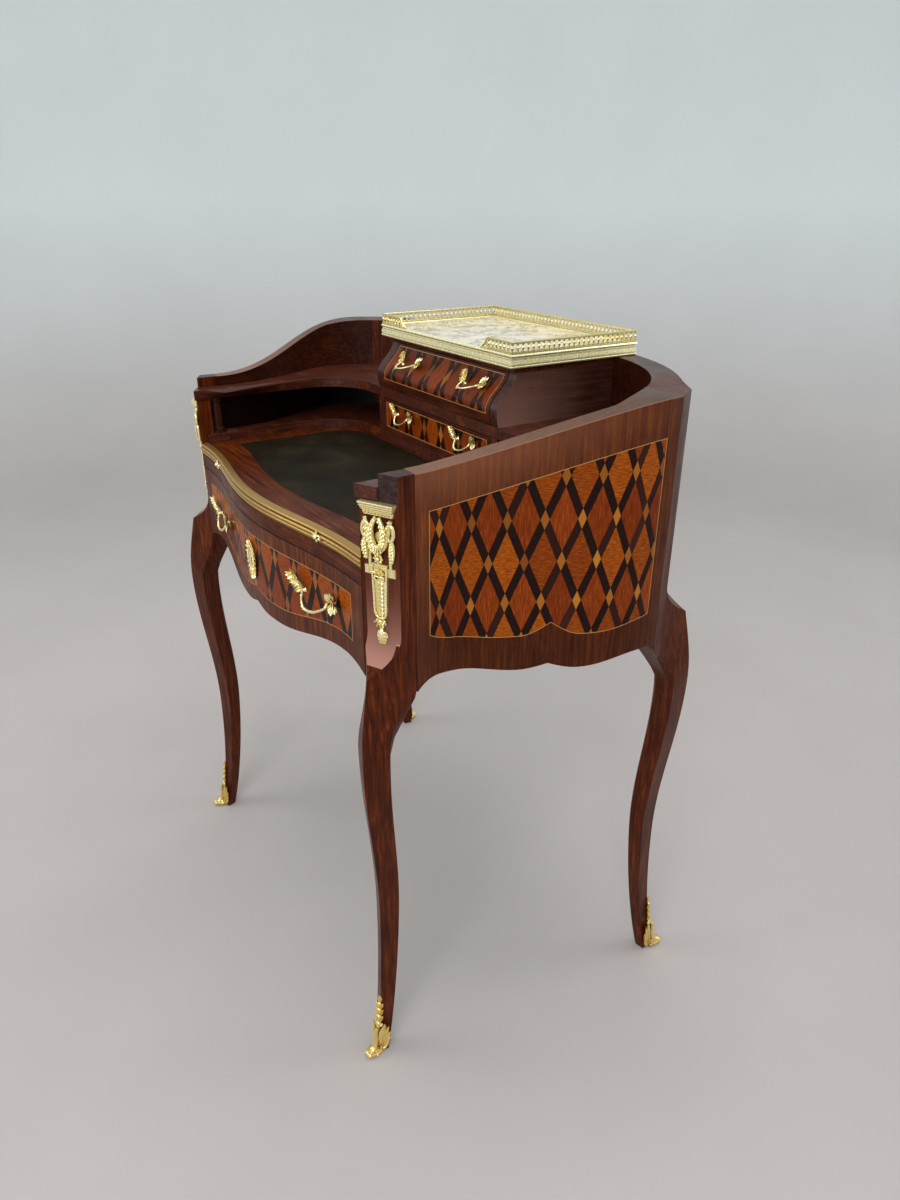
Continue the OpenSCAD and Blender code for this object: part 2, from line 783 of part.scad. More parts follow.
// Corner mount on the canted face, drawn standing on the plane y = 0 and facing -Y.
module chute() {
  h = chute_top - chute_tip;
  translate([0, -fit, chute_tip]) rotate([90, 0, 0]) union() {
    translate([-chute_half, h - 7, 0]) cube([2 * chute_half, 7, chute_t + 2]);
    translate([-chute_half + 2, h - 14, 0]) cube([2 * chute_half - 4, 8, chute_t]);
    linear_extrude(4) polygon([[-chute_half + 3, h - 13], [chute_half - 3, h - 13],
      [chute_half - 3, h - 52],
      [chute_half - 8, h - 62], [chute_half - 13, h - 52], [11, h - 84], [9, 46], [4, 26], [6, 8],
        [0, 0], [-6, 8], [-4, 26], [-9, 46],
      [-11, h - 84], [-chute_half + 13, h - 52], [-chute_half + 8, h - 62], [-chute_half + 3, h - 52]]);
    difference() {
      translate([0, h - 40, 0]) cylinder(r = 14, h = chute_t, $fn = 40);
      translate([0, h - 37, 1]) cylinder(r = 6, h = chute_t, $fn = 32);
    }
    both() translate([15.5, h - 34, 0]) cylinder(r = 6.5, h = chute_t - 1, $fn = 28);
    translate([0, h - 63, 0]) cylinder(r = 8, h = chute_t, $fn = 32);
    linear_extrude(chute_t) polygon([[-10, h - 72], [10, h - 72], [7.5, 42], [-7.5, 42]]);
    translate([-20, h - 82, 0]) cube([40, 7, 3]);
    translate([0, 36, 0]) cylinder(r = 8, h = chute_t - 1, $fn = 32);
    translate([0, 11, 0]) cylinder(r = 6.5, h = chute_t - 1, $fn = 28);
  }
}

// Foot mount: a leaf up the arris above a scrolled toe, in the frame of the post.
module sabot() {
  reach = leg_out(0) * sqrt(2);
  difference() {
    union() {
      intersection() {
        leg_square(-sabot_t, 0.2, sabot_h, 12);
        rotate([90, 0, 0]) linear_extrude(200) polygon([[-9, 0], [9, 0],
          [13, 20], [12, 44], [7, 52], [6, 74], [0, sabot_h],
          [-6, 74], [-7, 52], [-12, 44], [-13, 20]]);
        translate([-60, -leg_out(waist_h) * sqrt(2) - 90, 0]) cube([120, 80, 200]);
      }
      translate([0, -reach - toe_scroll + 7, 7]) rotate([0, 90, 0])
        cylinder(r = 7, h = 16, center = true, $fn = 40);
      translate([-6, -reach - toe_scroll + 7, 0]) cube([12, toe_scroll, 9]);
    }
    leg_square(-fit, -1, sabot_h + 10, 26);
  }
}

// Leaf spray that runs outward and a little upward along +X.
module leaf_spray(l) {
  rotate([90, 0, 0]) union() {
    translate([0, 0, 4]) cylinder(r = l * 0.13, h = 8, $fn = 24);
    translate([l * 0.25, l * 0.08, 2.5]) cylinder(r = l * 0.19, h = 8, $fn = 28);
    translate([l * 0.55, l * 0.16, 1]) cylinder(r = l * 0.24, h = 7, $fn = 32);
    translate([l * 0.82, l * 0.22, 1]) cylinder(r = l * 0.18, h = 5, $fn = 28);
    translate([l * 0.45, l * 0.12, 0]) cylinder(r = l * 0.1, h = 6, $fn = 20);
  }
}

// Handle of two leaf sprays joined by a bail, on the plane y = 0 and facing -Y.
module handle(w, l, drop) {
  r = 7;
  union() {
    both() translate([w / 2, -fit, 0]) leaf_spray(l);
    both() union() {
      translate([w / 2, -bail_out, r - drop]) cylinder(r = bail_r, h = drop - r + 1, $fn = 24);
      translate([w / 2 - r, -bail_out, r - drop]) rotate([90, 0, 0]) rotate([0, 0, -90])
        rotate_extrude(angle = 90, $fn = 48) translate([r, 0]) circle(bail_r, $fn = 24);
    }
    translate([-w / 2 + r, -bail_out, -drop]) rotate([0, 90, 0])
      cylinder(r = bail_r, h = w - 2 * r, $fn = 24);
  }
}

module keyhole() {
  union() {
    circle(2.6, $fn = 24);
    translate([-1.3, -8]) square([2.6, 8]);
  }
}

module keyhole_plate() {
  color(brass) translate([0, front_at(0) - fit, plate_z]) rotate([90, 0, 0]) difference() {
    union() {
      linear_extrude(3) polygon([for (a = [0:6:354]) [(plate_half + 1.6 * cos(6 * a)) * cos(a),
        (plate_tall + 1.6 * cos(6 * a)) * sin(a)]]);
      linear_extrude(6) polygon([for (a = [0:8:352]) [plate_half * 0.6 * cos(a),
        plate_tall * 0.68 * sin(a)]]);
    }
    translate([0, 0, -1]) linear_extrude(9) keyhole();
  }
}

module lock_case() {
  color(brass) difference() {
    translate([-22, frieze_back_face + fit, plate_z - 20]) cube([44, 12, rail_low - gap - plate_z + 20]);
    translate([-5.4, frieze_back_face + 3, plate_z - 2]) cube([10.8, 6, 90]);
    translate([0, frieze_back_face + 20, plate_z]) rotate([90, 0, 0]) linear_extrude(30) keyhole();
  }
}

module lock_bolt() {
  color(brass) translate([-5, frieze_back_face + 3.4, plate_z + 6]) cube([10, 5.2, rail_low - plate_z - 8]);
}

module frieze_front() {
  w = front_half - gap;
  color(wood) difference() {
    intersection() {
      slab(500, rail_low - gap) front_block(w, 0, frieze_back_face);
      rotate([90, 0, 0]) linear_extrude(400) polygon(concat(
        [for (i = [0:64]) let (x = -w + i * w / 32) [x, frieze_at(x)]], [[w, 900], [-w, 900]]));
    }
    translate([0, -200, plate_z]) rotate([90, 0, 0]) linear_extrude(200) keyhole();
  }
}

module frieze_side() {
  translate([frieze_box_half - drawer_side_t, frieze_back_face, frieze_box_low])
    cube([drawer_side_t, frieze_box_end - frieze_back_face, frieze_box_h]);
}

module frieze_back() {
  w = frieze_box_half - drawer_side_t;
  color(red_wood) translate([-w, frieze_box_end - drawer_side_t, frieze_box_low])
    cube([2 * w, drawer_side_t, frieze_box_h]);
}

module frieze_bottom() {
  w = frieze_box_half - drawer_side_t;
  color(red_wood) translate([-w, frieze_back_face, frieze_box_low + 3])
    cube([2 * w, frieze_box_end - drawer_side_t - frieze_back_face, drawer_bottom_t]);
}

low_w = case_half - case_side_t - gap;
low_z = floor_top + play;
low_h = shelf_low - gap - low_z;

module lower_front() {
  color(wood) translate([-low_w, case_front, low_z]) cube([2 * low_w, lower_front_t, low_h]);
}

module lower_side() {
  translate([low_w - drawer_side_t, case_front + lower_front_t, low_z])
    cube([drawer_side_t, lower_depth - lower_front_t, low_h - 3]);
}

module lower_back() {
  w = low_w - drawer_side_t;
  color(red_wood) translate([-w, case_front + lower_depth - drawer_side_t, low_z])
    cube([2 * w, drawer_side_t, low_h - 6]);
}

module lower_bottom() {
  w = low_w - drawer_side_t;
  color(red_wood) translate([-w, case_front + lower_front_t, low_z + 2])
    cube([2 * w, lower_depth - lower_front_t - drawer_side_t, drawer_bottom_t]);
}

up_z = shelf_top + play;
up_h = case_top_low - gap - up_z;
up_in = ogee_set + upper_front_t;

module upper_front() {
  color(wood) translate([-low_w, 0, 0]) rotate([90, 0, 90]) linear_extrude(2 * low_w) polygon(concat(
    [for (i = [0:30]) let (z = up_z + i * up_h / 30) [case_front + ogee_at(z), z]],
    [[case_front + up_in, up_z + up_h], [case_front + up_in, up_z]]
  ));
}

module upper_side() {
  translate([low_w - drawer_side_t, case_front + up_in, up_z])
    cube([drawer_side_t, upper_depth - up_in, up_h - 4]);
}

module upper_back() {
  w = low_w - drawer_side_t;
  color(red_wood) translate([-w, case_front + upper_depth - drawer_side_t, up_z])
    cube([2 * w, drawer_side_t, up_h - 8]);
}

module upper_bottom() {
  w = low_w - drawer_side_t;
  color(red_wood) translate([-w, case_front + up_in, up_z + 2])
    cube([2 * w, upper_depth - up_in - drawer_side_t, drawer_bottom_t]);
}

module frieze_handle() {
  reach = frieze_handle_w / 2 + frieze_leaf;
  x = frieze_handle_x;
  inner = front_at(x - reach);
  outer = front_at(x + reach);
  color(brass) translate([x, (inner + outer) / 2 + 0.5, frieze_handle_z])
    rotate([0, 0, atan((outer - inner) / (2 * reach))]) handle(frieze_handle_w, frieze_leaf, bail_drop);
}

module lower_handle() {
  color(brass) translate([small_handle_x, case_front, low_z + low_h * 0.68])
    handle(small_handle_w, small_leaf, bail_drop - 4);
}

module upper_handle() {
  zc = up_z + up_h * 0.66;
  lean = atan((ogee_at(zc + 4) - ogee_at(zc - 4)) / 8);
  color(brass) translate([small_handle_x, case_front + ogee_at(zc) - 0.1, zc]) rotate([-lean, 0, 0])
    handle(small_handle_w, small_leaf, bail_drop - 4);
}

placed() mirror([1, 0, 0]) color(wood) leg_front();  // leg_front_left
placed() color(wood) leg_front();  // leg_front_right
placed() mirror([1, 0, 0]) color(wood) leg_back();  // leg_back_left
placed() color(wood) leg_back();  // leg_back_right
placed() mirror([1, 0, 0]) color(wood) side_panel();  // side_panel_left
placed() color(wood) side_panel();  // side_panel_right
placed() back_panel();
placed() front_rail();
placed() writing_top();
placed() leather_inset();
placed() edge_moulding();
placed() edge_clasps();
placed() frieze_runners();
placed() mirror([1, 0, 0])  // pigeonhole_floor_left
  color(dark_wood) pigeonhole_floor();
placed() color(dark_wood) pigeonhole_floor();  // pigeonhole_floor_right
placed() shelf();
placed() mirror([1, 0, 0]) color(dark_wood) column();  // column_left
placed() color(dark_wood) column();  // column_right
placed() mirror([1, 0, 0]) color(red_wood) divider();  // divider_left
placed() color(red_wood) divider();  // divider_right
placed() case_floor();
placed() mirror([1, 0, 0]) color(dark_wood) case_side();  // case_side_left
placed() color(dark_wood) case_side();  // case_side_right
placed() case_top();
placed() marble_slab();
placed() marble_band();
placed() gallery_rails();
placed() gallery_balusters();
placed() mirror([1, 0, 0]) color(brass) at_front_post() chute();  // chute_left
placed() color(brass) at_front_post() chute();  // chute_right
placed() mirror([1, 0, 0])  // sabot_front_left
  color(brass) at_front_post() sabot();
placed() color(brass) at_front_post() sabot();  // sabot_front_right
placed() mirror([1, 0, 0])  // sabot_back_left
  color(brass) at_back_post() sabot();
placed() color(brass) at_back_post() sabot();  // sabot_back_right
placed() frieze_front();
placed() mirror([1, 0, 0]) color(red_wood) frieze_side();  // frieze_side_left
placed() color(red_wood) frieze_side();  // frieze_side_right
placed() frieze_back();
placed() frieze_bottom();
placed() mirror([1, 0, 0]) frieze_handle();  // frieze_handle_left
placed() frieze_handle();  // frieze_handle_right
placed() keyhole_plate();
placed() lock_case();
placed() lock_bolt();
placed() lower_front();
placed() mirror([1, 0, 0]) color(red_wood) lower_side();  // lower_side_left
placed() color(red_wood) lower_side();  // lower_side_right
placed() lower_back();
placed() lower_bottom();
placed() mirror([1, 0, 0]) lower_handle();  // lower_handle_left
placed() lower_handle();  // lower_handle_right
placed() upper_front();
placed() mirror([1, 0, 0]) color(red_wood) upper_side();  // upper_side_left
placed() color(red_wood) upper_side();  // upper_side_right
placed() upper_back();
placed() upper_bottom();
placed() mirror([1, 0, 0]) upper_handle();  // upper_handle_left
placed() upper_handle();  // upper_handle_right
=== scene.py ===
import random
from functools import partialmethod
from math import atan, cos, pi, radians, sin, sqrt, tanh

import bmesh
import bpy
from mathutils import Matrix, Vector


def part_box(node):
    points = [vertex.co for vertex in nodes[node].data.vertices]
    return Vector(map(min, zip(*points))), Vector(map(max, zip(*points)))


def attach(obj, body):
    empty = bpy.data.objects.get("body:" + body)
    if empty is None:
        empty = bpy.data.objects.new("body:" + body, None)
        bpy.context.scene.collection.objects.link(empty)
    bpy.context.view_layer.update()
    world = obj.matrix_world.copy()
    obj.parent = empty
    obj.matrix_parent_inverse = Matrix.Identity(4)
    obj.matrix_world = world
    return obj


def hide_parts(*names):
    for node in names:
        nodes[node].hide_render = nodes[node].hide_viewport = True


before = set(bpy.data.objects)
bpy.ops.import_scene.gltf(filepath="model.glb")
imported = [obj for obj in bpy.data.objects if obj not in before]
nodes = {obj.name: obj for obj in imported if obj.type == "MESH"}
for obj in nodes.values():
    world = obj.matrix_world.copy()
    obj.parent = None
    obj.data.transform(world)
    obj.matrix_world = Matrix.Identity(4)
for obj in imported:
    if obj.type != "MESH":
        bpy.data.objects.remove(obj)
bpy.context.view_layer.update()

# Sizes shared with the CAD source, in millimetres. Its y starts SHIFT behind the part's origin.
SHIFT = 22.4
FRONT_HALF = 285  # half the length of the front edge
FRONT_Y = -251  # the front edge's line beside the posts
WRITING_H = 752
TOP_LOW = 735  # underside of the writing top
SHELF_TOP = 822
CASE_FRONT = 19  # face of the lower drawer of the case
BAND_LOW, BAND_TOP, GALLERY_TOP = 916, 933, 950
BAND_HALF, BAND_FRONT, BAND_BACK = 177.5, 31.4, 253.8
CANT = radians(27)
FRONT_LEG = {"x": 308.5, "y": -238.5, "angle": CANT}  # place and turn of the leg's own frame
BACK_LEG = {"x": 370, "y": 152, "angle": radians(35), "facing": -1}

SIDES = ((-1, "left"), (1, "right"))
OUT = Vector((0, -1, 0))  # away from the wood, as a mount is drawn


def ease(t):
    return 0 if t <= 0 else 1 if t >= 1 else (1 - cos(pi * t)) / 2


def front_at(x):
    """y of the bowed front edge."""
    return FRONT_Y if abs(x) >= 260 else FRONT_Y - 28 * cos(pi / 2 * x / 260) ** 2


def frieze_at(x):
    """Height of the frieze drawer's lower edge, with its cusp in the middle."""
    d = abs(x)
    if d < 40:
        return 590 - 8 * sin(pi / 2 * d / 40)
    return 582 + 25 * ease((d - 60) / 170) if d < 235 else 607 - 12 * ((d - 235) / 50) ** 2


def rim_at(y):
    """Height of the side walls' rim."""
    return 853 + 63 * ease((y + 200) / 290)


def side_foot(y):
    """Height of the side panels' lower line, in centimetres, with its cusp."""
    d = abs(y + 4.4)
    if d < 3.6:
        return 65.3 - 1.8 * sin(pi / 2 * d / 3.6)
    return 63.5 + ease((d - 5) / 8) + 0.9 * max(0, (d - 11.5) / 2) ** 2 * 0.5


def leg_out(z):
    """How far a leg's foot has swung out at a height."""
    return 20 + 14 * ((250 - z) / 250) ** 2


def ogee_at(z):
    """How far the upper drawer's front lies behind CASE_FRONT."""
    t = (z - 838) / 70
    return -3 * sin(pi * t / 0.6) if t < 0.3 else -3 + 31 * ease((t - 0.3) / 0.7)


def place(p):
    """A point in the CAD source's millimetres, as a point of the part's frame."""
    return Vector((p[0], p[1] + SHIFT, p[2])) / 1000


def linear(code):
    parts = [int(code[i : i + 2], 16) / 255 for i in (1, 3, 5)]
    return tuple(p / 12.92 if p <= 0.04045 else ((p + 0.055) / 1.055) ** 2.4 for p in parts) + (1,)


def around(count):
    """Angles evenly round a circle."""
    return [2 * pi * i / count for i in range(count)]


def new_object(name, data):
    made = bpy.data.objects.new(name, data)
    bpy.context.scene.collection.objects.link(made)
    return made


class Graph:
    """A material's node tree, with short calls that return sockets. Lengths are in centimetres."""

    def __init__(self, name):
        self.material = bpy.data.materials.new(name)
        self.material.use_nodes = True
        self.tree = self.material.node_tree
        self.tree.nodes.clear()
        self.shader = self.node("BsdfPrincipled")
        self.node("OutputMaterial", {0: self.shader.outputs[0]})
        coords = self.node("TexCoord")
        self.cm = self.stretch(coords.outputs["Object"], (100, 100, 100))
        self.x, self.y, self.z = self.split(self.cm)
        self.nx, self.ny, self.nz = self.split(coords.outputs["Normal"])
        self.y = self.minus(self.y, SHIFT / 10)

    def node(self, kind, values=(), **settings):
        made = self.tree.nodes.new("ShaderNode" + kind)
        for key, value in settings.items():
            setattr(made, key, value)
        for slot, value in dict(values).items():
            self.put(made.inputs[slot], value)
        return made

    def put(self, socket, value):
        if isinstance(value, bpy.types.NodeSocket):
            self.tree.links.new(value, socket)
        elif isinstance(value, str):
            socket.default_value = linear(value)
        else:
            socket.default_value = value

    def split(self, vector):
        return self.node("SeparateXYZ", {0: vector}).outputs[:3]

    def join(self, x, y, z=0):
        return self.node("CombineXYZ", {0: x, 1: y, 2: z}).outputs[0]

    def m(self, kind, a, *more):
        """A math node, or a chain of them for more than two values."""
        for b in more or (0,):
            a = self.node("Math", {0: a, 1: b}, operation=kind).outputs[0]
        return a

    plus, minus, times = partialmethod(m, "ADD"), partialmethod(m, "SUBTRACT"), partialmethod(m, "MULTIPLY")
    least, most, size = partialmethod(m, "MINIMUM"), partialmethod(m, "MAXIMUM"), partialmethod(m, "ABSOLUTE")
    above, below = partialmethod(m, "GREATER_THAN"), partialmethod(m, "LESS_THAN")

    def vector(self, kind, a, b):
        return self.node("VectorMath", {0: a, 1: b}, operation=kind).outputs[0]

    shift, stretch = partialmethod(vector, "ADD"), partialmethod(vector, "MULTIPLY")

    def noise(self, vector, scale, detail=3, rough=0.5, bend=0, give="Fac"):
        values = {"Vector": vector, "Scale": scale, "Detail": detail, "Roughness": rough, "Distortion": bend}
        return self.node("TexNoise", values).outputs[give]

    def chance(self, vector):
        return self.node("TexWhiteNoise", {"Vector": vector}).outputs["Value"]

    def span(self, value, lo, hi, a=0, b=1):
        values = {"Value": value, "From Min": lo, "From Max": hi, "To Min": a, "To Max": b}
        return self.node("MapRange", values).outputs["Result"]

    def blend(self, factor, a, b, how="MIX"):
        made = self.node("Mix", data_type="RGBA", blend_type=how)
        for slot, value in ((0, factor), (6, a), (7, b)):
            self.put(made.inputs[slot], value)
        return made.outputs[2]

    def tint(self, colour, by):
        return self.blend(1, colour, by, "MULTIPLY")

    def ramp(self, factor, *stops):
        made = self.node("ValToRGB", {0: factor})
        parts = made.color_ramp.elements
        while len(parts) < len(stops):
            parts.new(0.5)
        for part, (at, colour) in zip(parts, stops):
            part.position, part.color = at, linear(colour)
        return made.outputs[0]

    def curve(self, value, lo, hi, f, steps=24):
        """f of value for value from lo to hi, read from a curve of evenly spaced points."""
        found = [f(lo + (hi - lo) * i / steps) for i in range(steps + 1)]
        low, high = min(found), max(found)
        made = self.node("FloatCurve", {1: self.span(value, lo, hi)})
        line = made.mapping.curves[0]
        for i, v in enumerate(found):
            at = (i / steps, (v - low) / (high - low))
            if i in (0, steps):
                line.points[0 if i == 0 else -1].location = at
            else:
                line.points.new(*at)
        for p in line.points:
            p.handle_type = "VECTOR"
        made.mapping.update()
        return self.span(made.outputs[0], 0, 1, low, high)

    def bump(self, height, strength, distance, **more):
        values = {"Height": height, "Strength": strength, "Distance": distance, **more}
        return self.node("Bump", values).outputs[0]

    def set(self, **values):
        names = {
            "colour": "Base Color", "rough": "Roughness", "metal": "Metallic", "normal": "Normal",
            "coat": "Coat Weight", "coat_rough": "Coat Roughness", "specular": "Specular IOR Level",
        }
        for key, value in values.items():
            self.put(self.shader.inputs[names[key]], value)
        return self.material


# Dark, middle and light streaks of woods that several materials have.
BORDER = ("#341204", "#572507", "#7f4212")
BARE = ("#3f1c10", "#5b2c18", "#7a4426")
RIM = ("#35231c", "#48332a", "#5e4438")
LEG = ("#2b0e03", "#501f07", "#783a14")
LINING = ("#6b4528", "#855a37", "#9b7047")

# Trellises, in centimetres: width of a column, height of a row, and a height where strips cross.
WALL_TRELLIS = (4.2, 10.4, 78.5)
FRIEZE_TRELLIS = (4.8, 12, 62)
LOWER_TRELLIS = (4.8, 11.6, 79.8)
UPPER_TRELLIS = (4.8, 11.6, 88)
STRIP = 0.122  # half the width of a dark strip, as a share of a column


def timber(g, run, streaks, seed):
    """Colour, height and slow mottling of a polished wood whose grain runs along axis run."""
    moved = g.shift(g.cm, (seed, seed * 1.7, seed * 0.6))

    def fibres(length, *look):
        thin = [1, 1, 1]
        thin[run] = length
        return g.noise(g.stretch(moved, thin), *look)

    streak = fibres(0.05, 2.4, 7, 0.65, 0.5)
    pores = g.span(fibres(0.12, 13, 2), 0.56, 0.66)
    slow = g.noise(moved, 0.22)
    colour = g.ramp(streak, *zip((0.30, 0.5, 0.72), streaks))
    colour = g.blend(g.span(slow, 0.35, 0.7, 0, 0.55), colour, g.tint(colour, "#b59a8c"))
    colour = g.blend(g.times(pores, 0.55), colour, g.tint(colour, "#8a7468"))
    return colour, g.minus(streak, g.times(pores, 0.6)), slow


def polish(g, colour, height, slow, rough=0.31, coat=0.05, specular=0.11):
    rounded = g.node("Bevel", {0: 0.0009}, samples=4).outputs[0]
    gloss = g.plus(g.span(slow, 0.3, 0.7, rough - 0.05, rough + 0.07), g.times(height, 0.03))
    return g.set(
        colour=colour, rough=gloss, normal=g.bump(height, 0.16, 0.0004, Normal=rounded),
        coat=coat, coat_rough=0.16, specular=specular,
    )


def plain_wood(name, run, streaks, seed, **finish):
    g = Graph(name)
    return polish(g, *timber(g, run, streaks, seed), **finish)


def trellis(g, across, grid):
    """Colour and height of dark strips, pale diamonds where they cross, and large ones of two woods."""
    column, row, middle = grid
    up = g.minus(g.z, middle)
    u, v = g.m("DIVIDE", across, column), g.m("DIVIDE", up, row)
    p, q = g.plus(u, v), g.minus(u, v)
    rp, rq, fp, fq = g.m("ROUND", p), g.m("ROUND", q), g.m("FLOOR", p), g.m("FLOOR", q)
    dp, dq = g.size(g.minus(p, rp)), g.size(g.minus(q, rq))
    on_p, on_q = g.below(dp, STRIP), g.below(dq, STRIP)
    crossing = g.times(on_p, on_q)
    strip = g.minus(g.most(on_p, on_q), crossing)
    flat = g.join(across, up)
    ripple = g.noise(g.stretch(flat, (0.55, 3.4, 1)), 2.4, 4, 0.6, 0.4)
    upright = g.noise(g.stretch(flat, (3.2, 0.24, 1)), 2.2, 5, 0.62, 0.3)
    speck = g.noise(g.stretch(flat, (1, 0.5, 1)), 12, 2)
    grain = g.noise(g.stretch(flat, (2.6, 0.5, 1)), 3, 4, 0.6)
    one = g.ramp(ripple, (0.32, "#763202"), (0.5, "#a04c04"), (0.68, "#ca6e0e"))
    two = g.ramp(upright, (0.32, "#662402"), (0.5, "#8c3a04"), (0.70, "#b0560c"))
    fields = g.blend(g.m("FLOORED_MODULO", g.minus(fp, fq), 2), two, one)
    tone = g.span(g.chance(g.join(fp, fq)), 0, 1, 0, 0.75)
    fields = g.blend(tone, fields, g.tint(fields, "#b89684"))
    fields = g.blend(g.times(g.span(speck, 0.55, 0.68), 0.45), fields, "#4c1f0c")
    length = g.blend(on_q, g.join(rp, fq, 3), g.join(fp, rq, 5))
    strips = g.ramp(grain, (0.3, "#100402"), (0.6, "#210c06"), (0.8, "#381a10"))
    strips = g.blend(g.span(g.chance(length), 0.72, 1, 0, 0.5), strips, "#4a2216")
    pale = g.chance(g.join(rp, rq, 9))
    pale = g.ramp(pale, (0, "#7a4216"), (0.35, "#9a5a1c"), (1, "#b97526"))
    colour = g.blend(crossing, g.blend(strip, fields, strips), pale)
    seam = g.least(g.size(g.minus(dp, STRIP)), g.size(g.minus(dq, STRIP)))
    colour = g.blend(g.times(g.below(seam, 0.006), 0.35), colour, "#1a0a06")
    return colour, g.plus(ripple, g.times(g.below(seam, 0.005), -0.6))


def inlaid(g, border, panel, *rooms):
    """The panel's colour where every room is above 0, the border's elsewhere, and a pale line between."""
    inside = g.least(*rooms)
    colour = g.blend(g.above(inside, 0), border, panel)
    return g.blend(g.below(g.size(inside), 0.042), colour, "#b98b52")


def inner_wood(g, run):
    """The lining of the tub, with painted shade that makes it all but black in the pigeonholes."""
    wood = timber(g, run, ("#1f0a04", "#36150a", "#522713"), 5)[0]
    # Painted shade: all but black in the pigeonholes.
    return g.blend(g.span(g.z, 82.4, 82, 0, 0.85), wood, "#050201")


def side_veneer(name, mirrored):
    """A side wall: trellis in a border outside, dark wood inside, a painted sheen on the border below the rim
    towards the front, the border darker towards the bottom, a painted highlight along the rim's outer edge,
    and a rim top painted paler towards the front.
    """
    g = Graph(name)
    along = g.times(g.minus(g.y, -17.4), WALL_TRELLIS[0] / 3.92)
    panel, relief = trellis(g, along, WALL_TRELLIS)
    border, height, slow = timber(g, 2, BORDER, 3 if mirrored else 8)
    top = g.curve(g.y, -20, 12, lambda y: rim_at(y * 10) / 10 - 4.6)
    bottom = g.curve(g.y, -20, 10, side_foot, steps=48)
    over = g.minus(g.z, top)
    # Painted sheen: the border lighter below the rim towards the front, and at the front end.
    painted_border_sheen = g.times(g.span(over, -2, 3.6), g.span(g.y, 10, -12, 0.15, 0.85))
    painted_border_sheen = g.most(painted_border_sheen, g.span(g.y, -17, -19.5, 0, 0.3))
    border = g.blend(painted_border_sheen, border, g.blend(0.6, border, "#8d573c"))
    border = g.blend(g.span(g.z, 72, 63.5, 0, 0.4), border, "#2c0f04")
    rooms = g.minus(g.y, -18.7), g.minus(8.3, g.y), g.minus(top, g.z), g.minus(g.z, bottom)
    colour = inlaid(g, border, panel, *rooms)
    # Painted highlight: a thin pale line along the rim's outer top edge.
    colour = g.blend(g.times(g.above(over, 4.47), 0.5), colour, "#b8917a")
    outside = g.above(g.times(g.nx, -1 if mirrored else 1), 0.35)
    colour = g.blend(outside, inner_wood(g, 1), colour)
    # Painted sheen: the rim top paler towards the front.
    rim = g.blend(g.span(g.y, 12, -14, 0, 0.55), timber(g, 1, RIM, 1)[0], "#8a634e")
    colour = g.blend(g.above(g.nz, 0.6), colour, rim)
    return polish(g, colour, g.plus(height, g.times(relief, 0.3)), slow)


def panelled(g, across, grid, wood, half, high, low, darker=0):
    """A front's colour and grain: a bordered trellis, half wide each way, between two heights."""
    border, *grain = timber(g, *wood)
    panel = trellis(g, across, grid)[0]
    if darker:
        panel = g.blend(darker, panel, "#3a1c18")
    rooms = g.minus(half, g.size(g.x)), g.minus(high, g.z), g.minus(g.z, low)
    return inlaid(g, border, panel, *rooms), grain


def back_veneer():
    g = Graph("veneer_back")
    low = g.curve(g.size(g.x), 0, 31, lambda x: frieze_at(x * FRONT_HALF / 32) / 10 + 4.8, steps=48)
    face, grain = panelled(g, g.x, WALL_TRELLIS, (2, BORDER, 12), 28.5, 87, low)
    colour = g.blend(g.above(g.ny, 0.35), inner_wood(g, 0), face)
    return polish(g, g.blend(g.above(g.nz, 0.6), colour, timber(g, 0, RIM, 1)[0]), *grain)


def frieze_veneer():
    """The frieze drawer's front, with painted shade along its top where it meets the rail, and bare behind.
    """
    g = Graph("veneer_front")
    low = g.curve(g.size(g.x), 0, 27, lambda x: frieze_at(x * 10) / 10 + 2.5, steps=48)
    face, grain = panelled(g, g.x, FRIEZE_TRELLIS, (2, BORDER, 2), 25.4, 69.3, low)
    # Painted shade: a dark band along the top, for the gap under the front rail.
    face = g.blend(g.span(g.z, 71.25, 71.5), face, "#0c0503")
    return polish(g, g.blend(g.below(g.ny, -0.5), timber(g, 0, BARE, 4)[0], face), *grain)


def case_veneer(name, grid, low, high, darker=0):
    """A drawer front of the case, with its trellis between two heights."""
    g = Graph(name)
    wood = (0, ("#2c1410", "#4a2216", "#6d3618"), 6)
    face, grain = panelled(g, g.minus(g.x, 2.4), grid, wood, 14.3, high, low, darker)
    return polish(g, g.blend(g.below(g.ny, -0.4), timber(g, 0, BARE, 4)[0], face), *grain)


def patched_wood():
    """Dark cross-banding with orange-brown patches."""
    g = Graph("cross_banding")
    colour, *grain = timber(g, 1, ("#2c110a", "#4b2115", "#6d3a26"), 9)
    other = timber(g, 1, ("#53260f", "#6f3717", "#8a4c26"), 2.5)[0]
    patches = g.span(g.noise(g.stretch(g.cm, (0.35, 0.5, 0.5)), 0.8, 2), 0.57, 0.66, 0, 0.7)
    return polish(g, g.blend(patches, colour, other), *grain, specular=0.3)


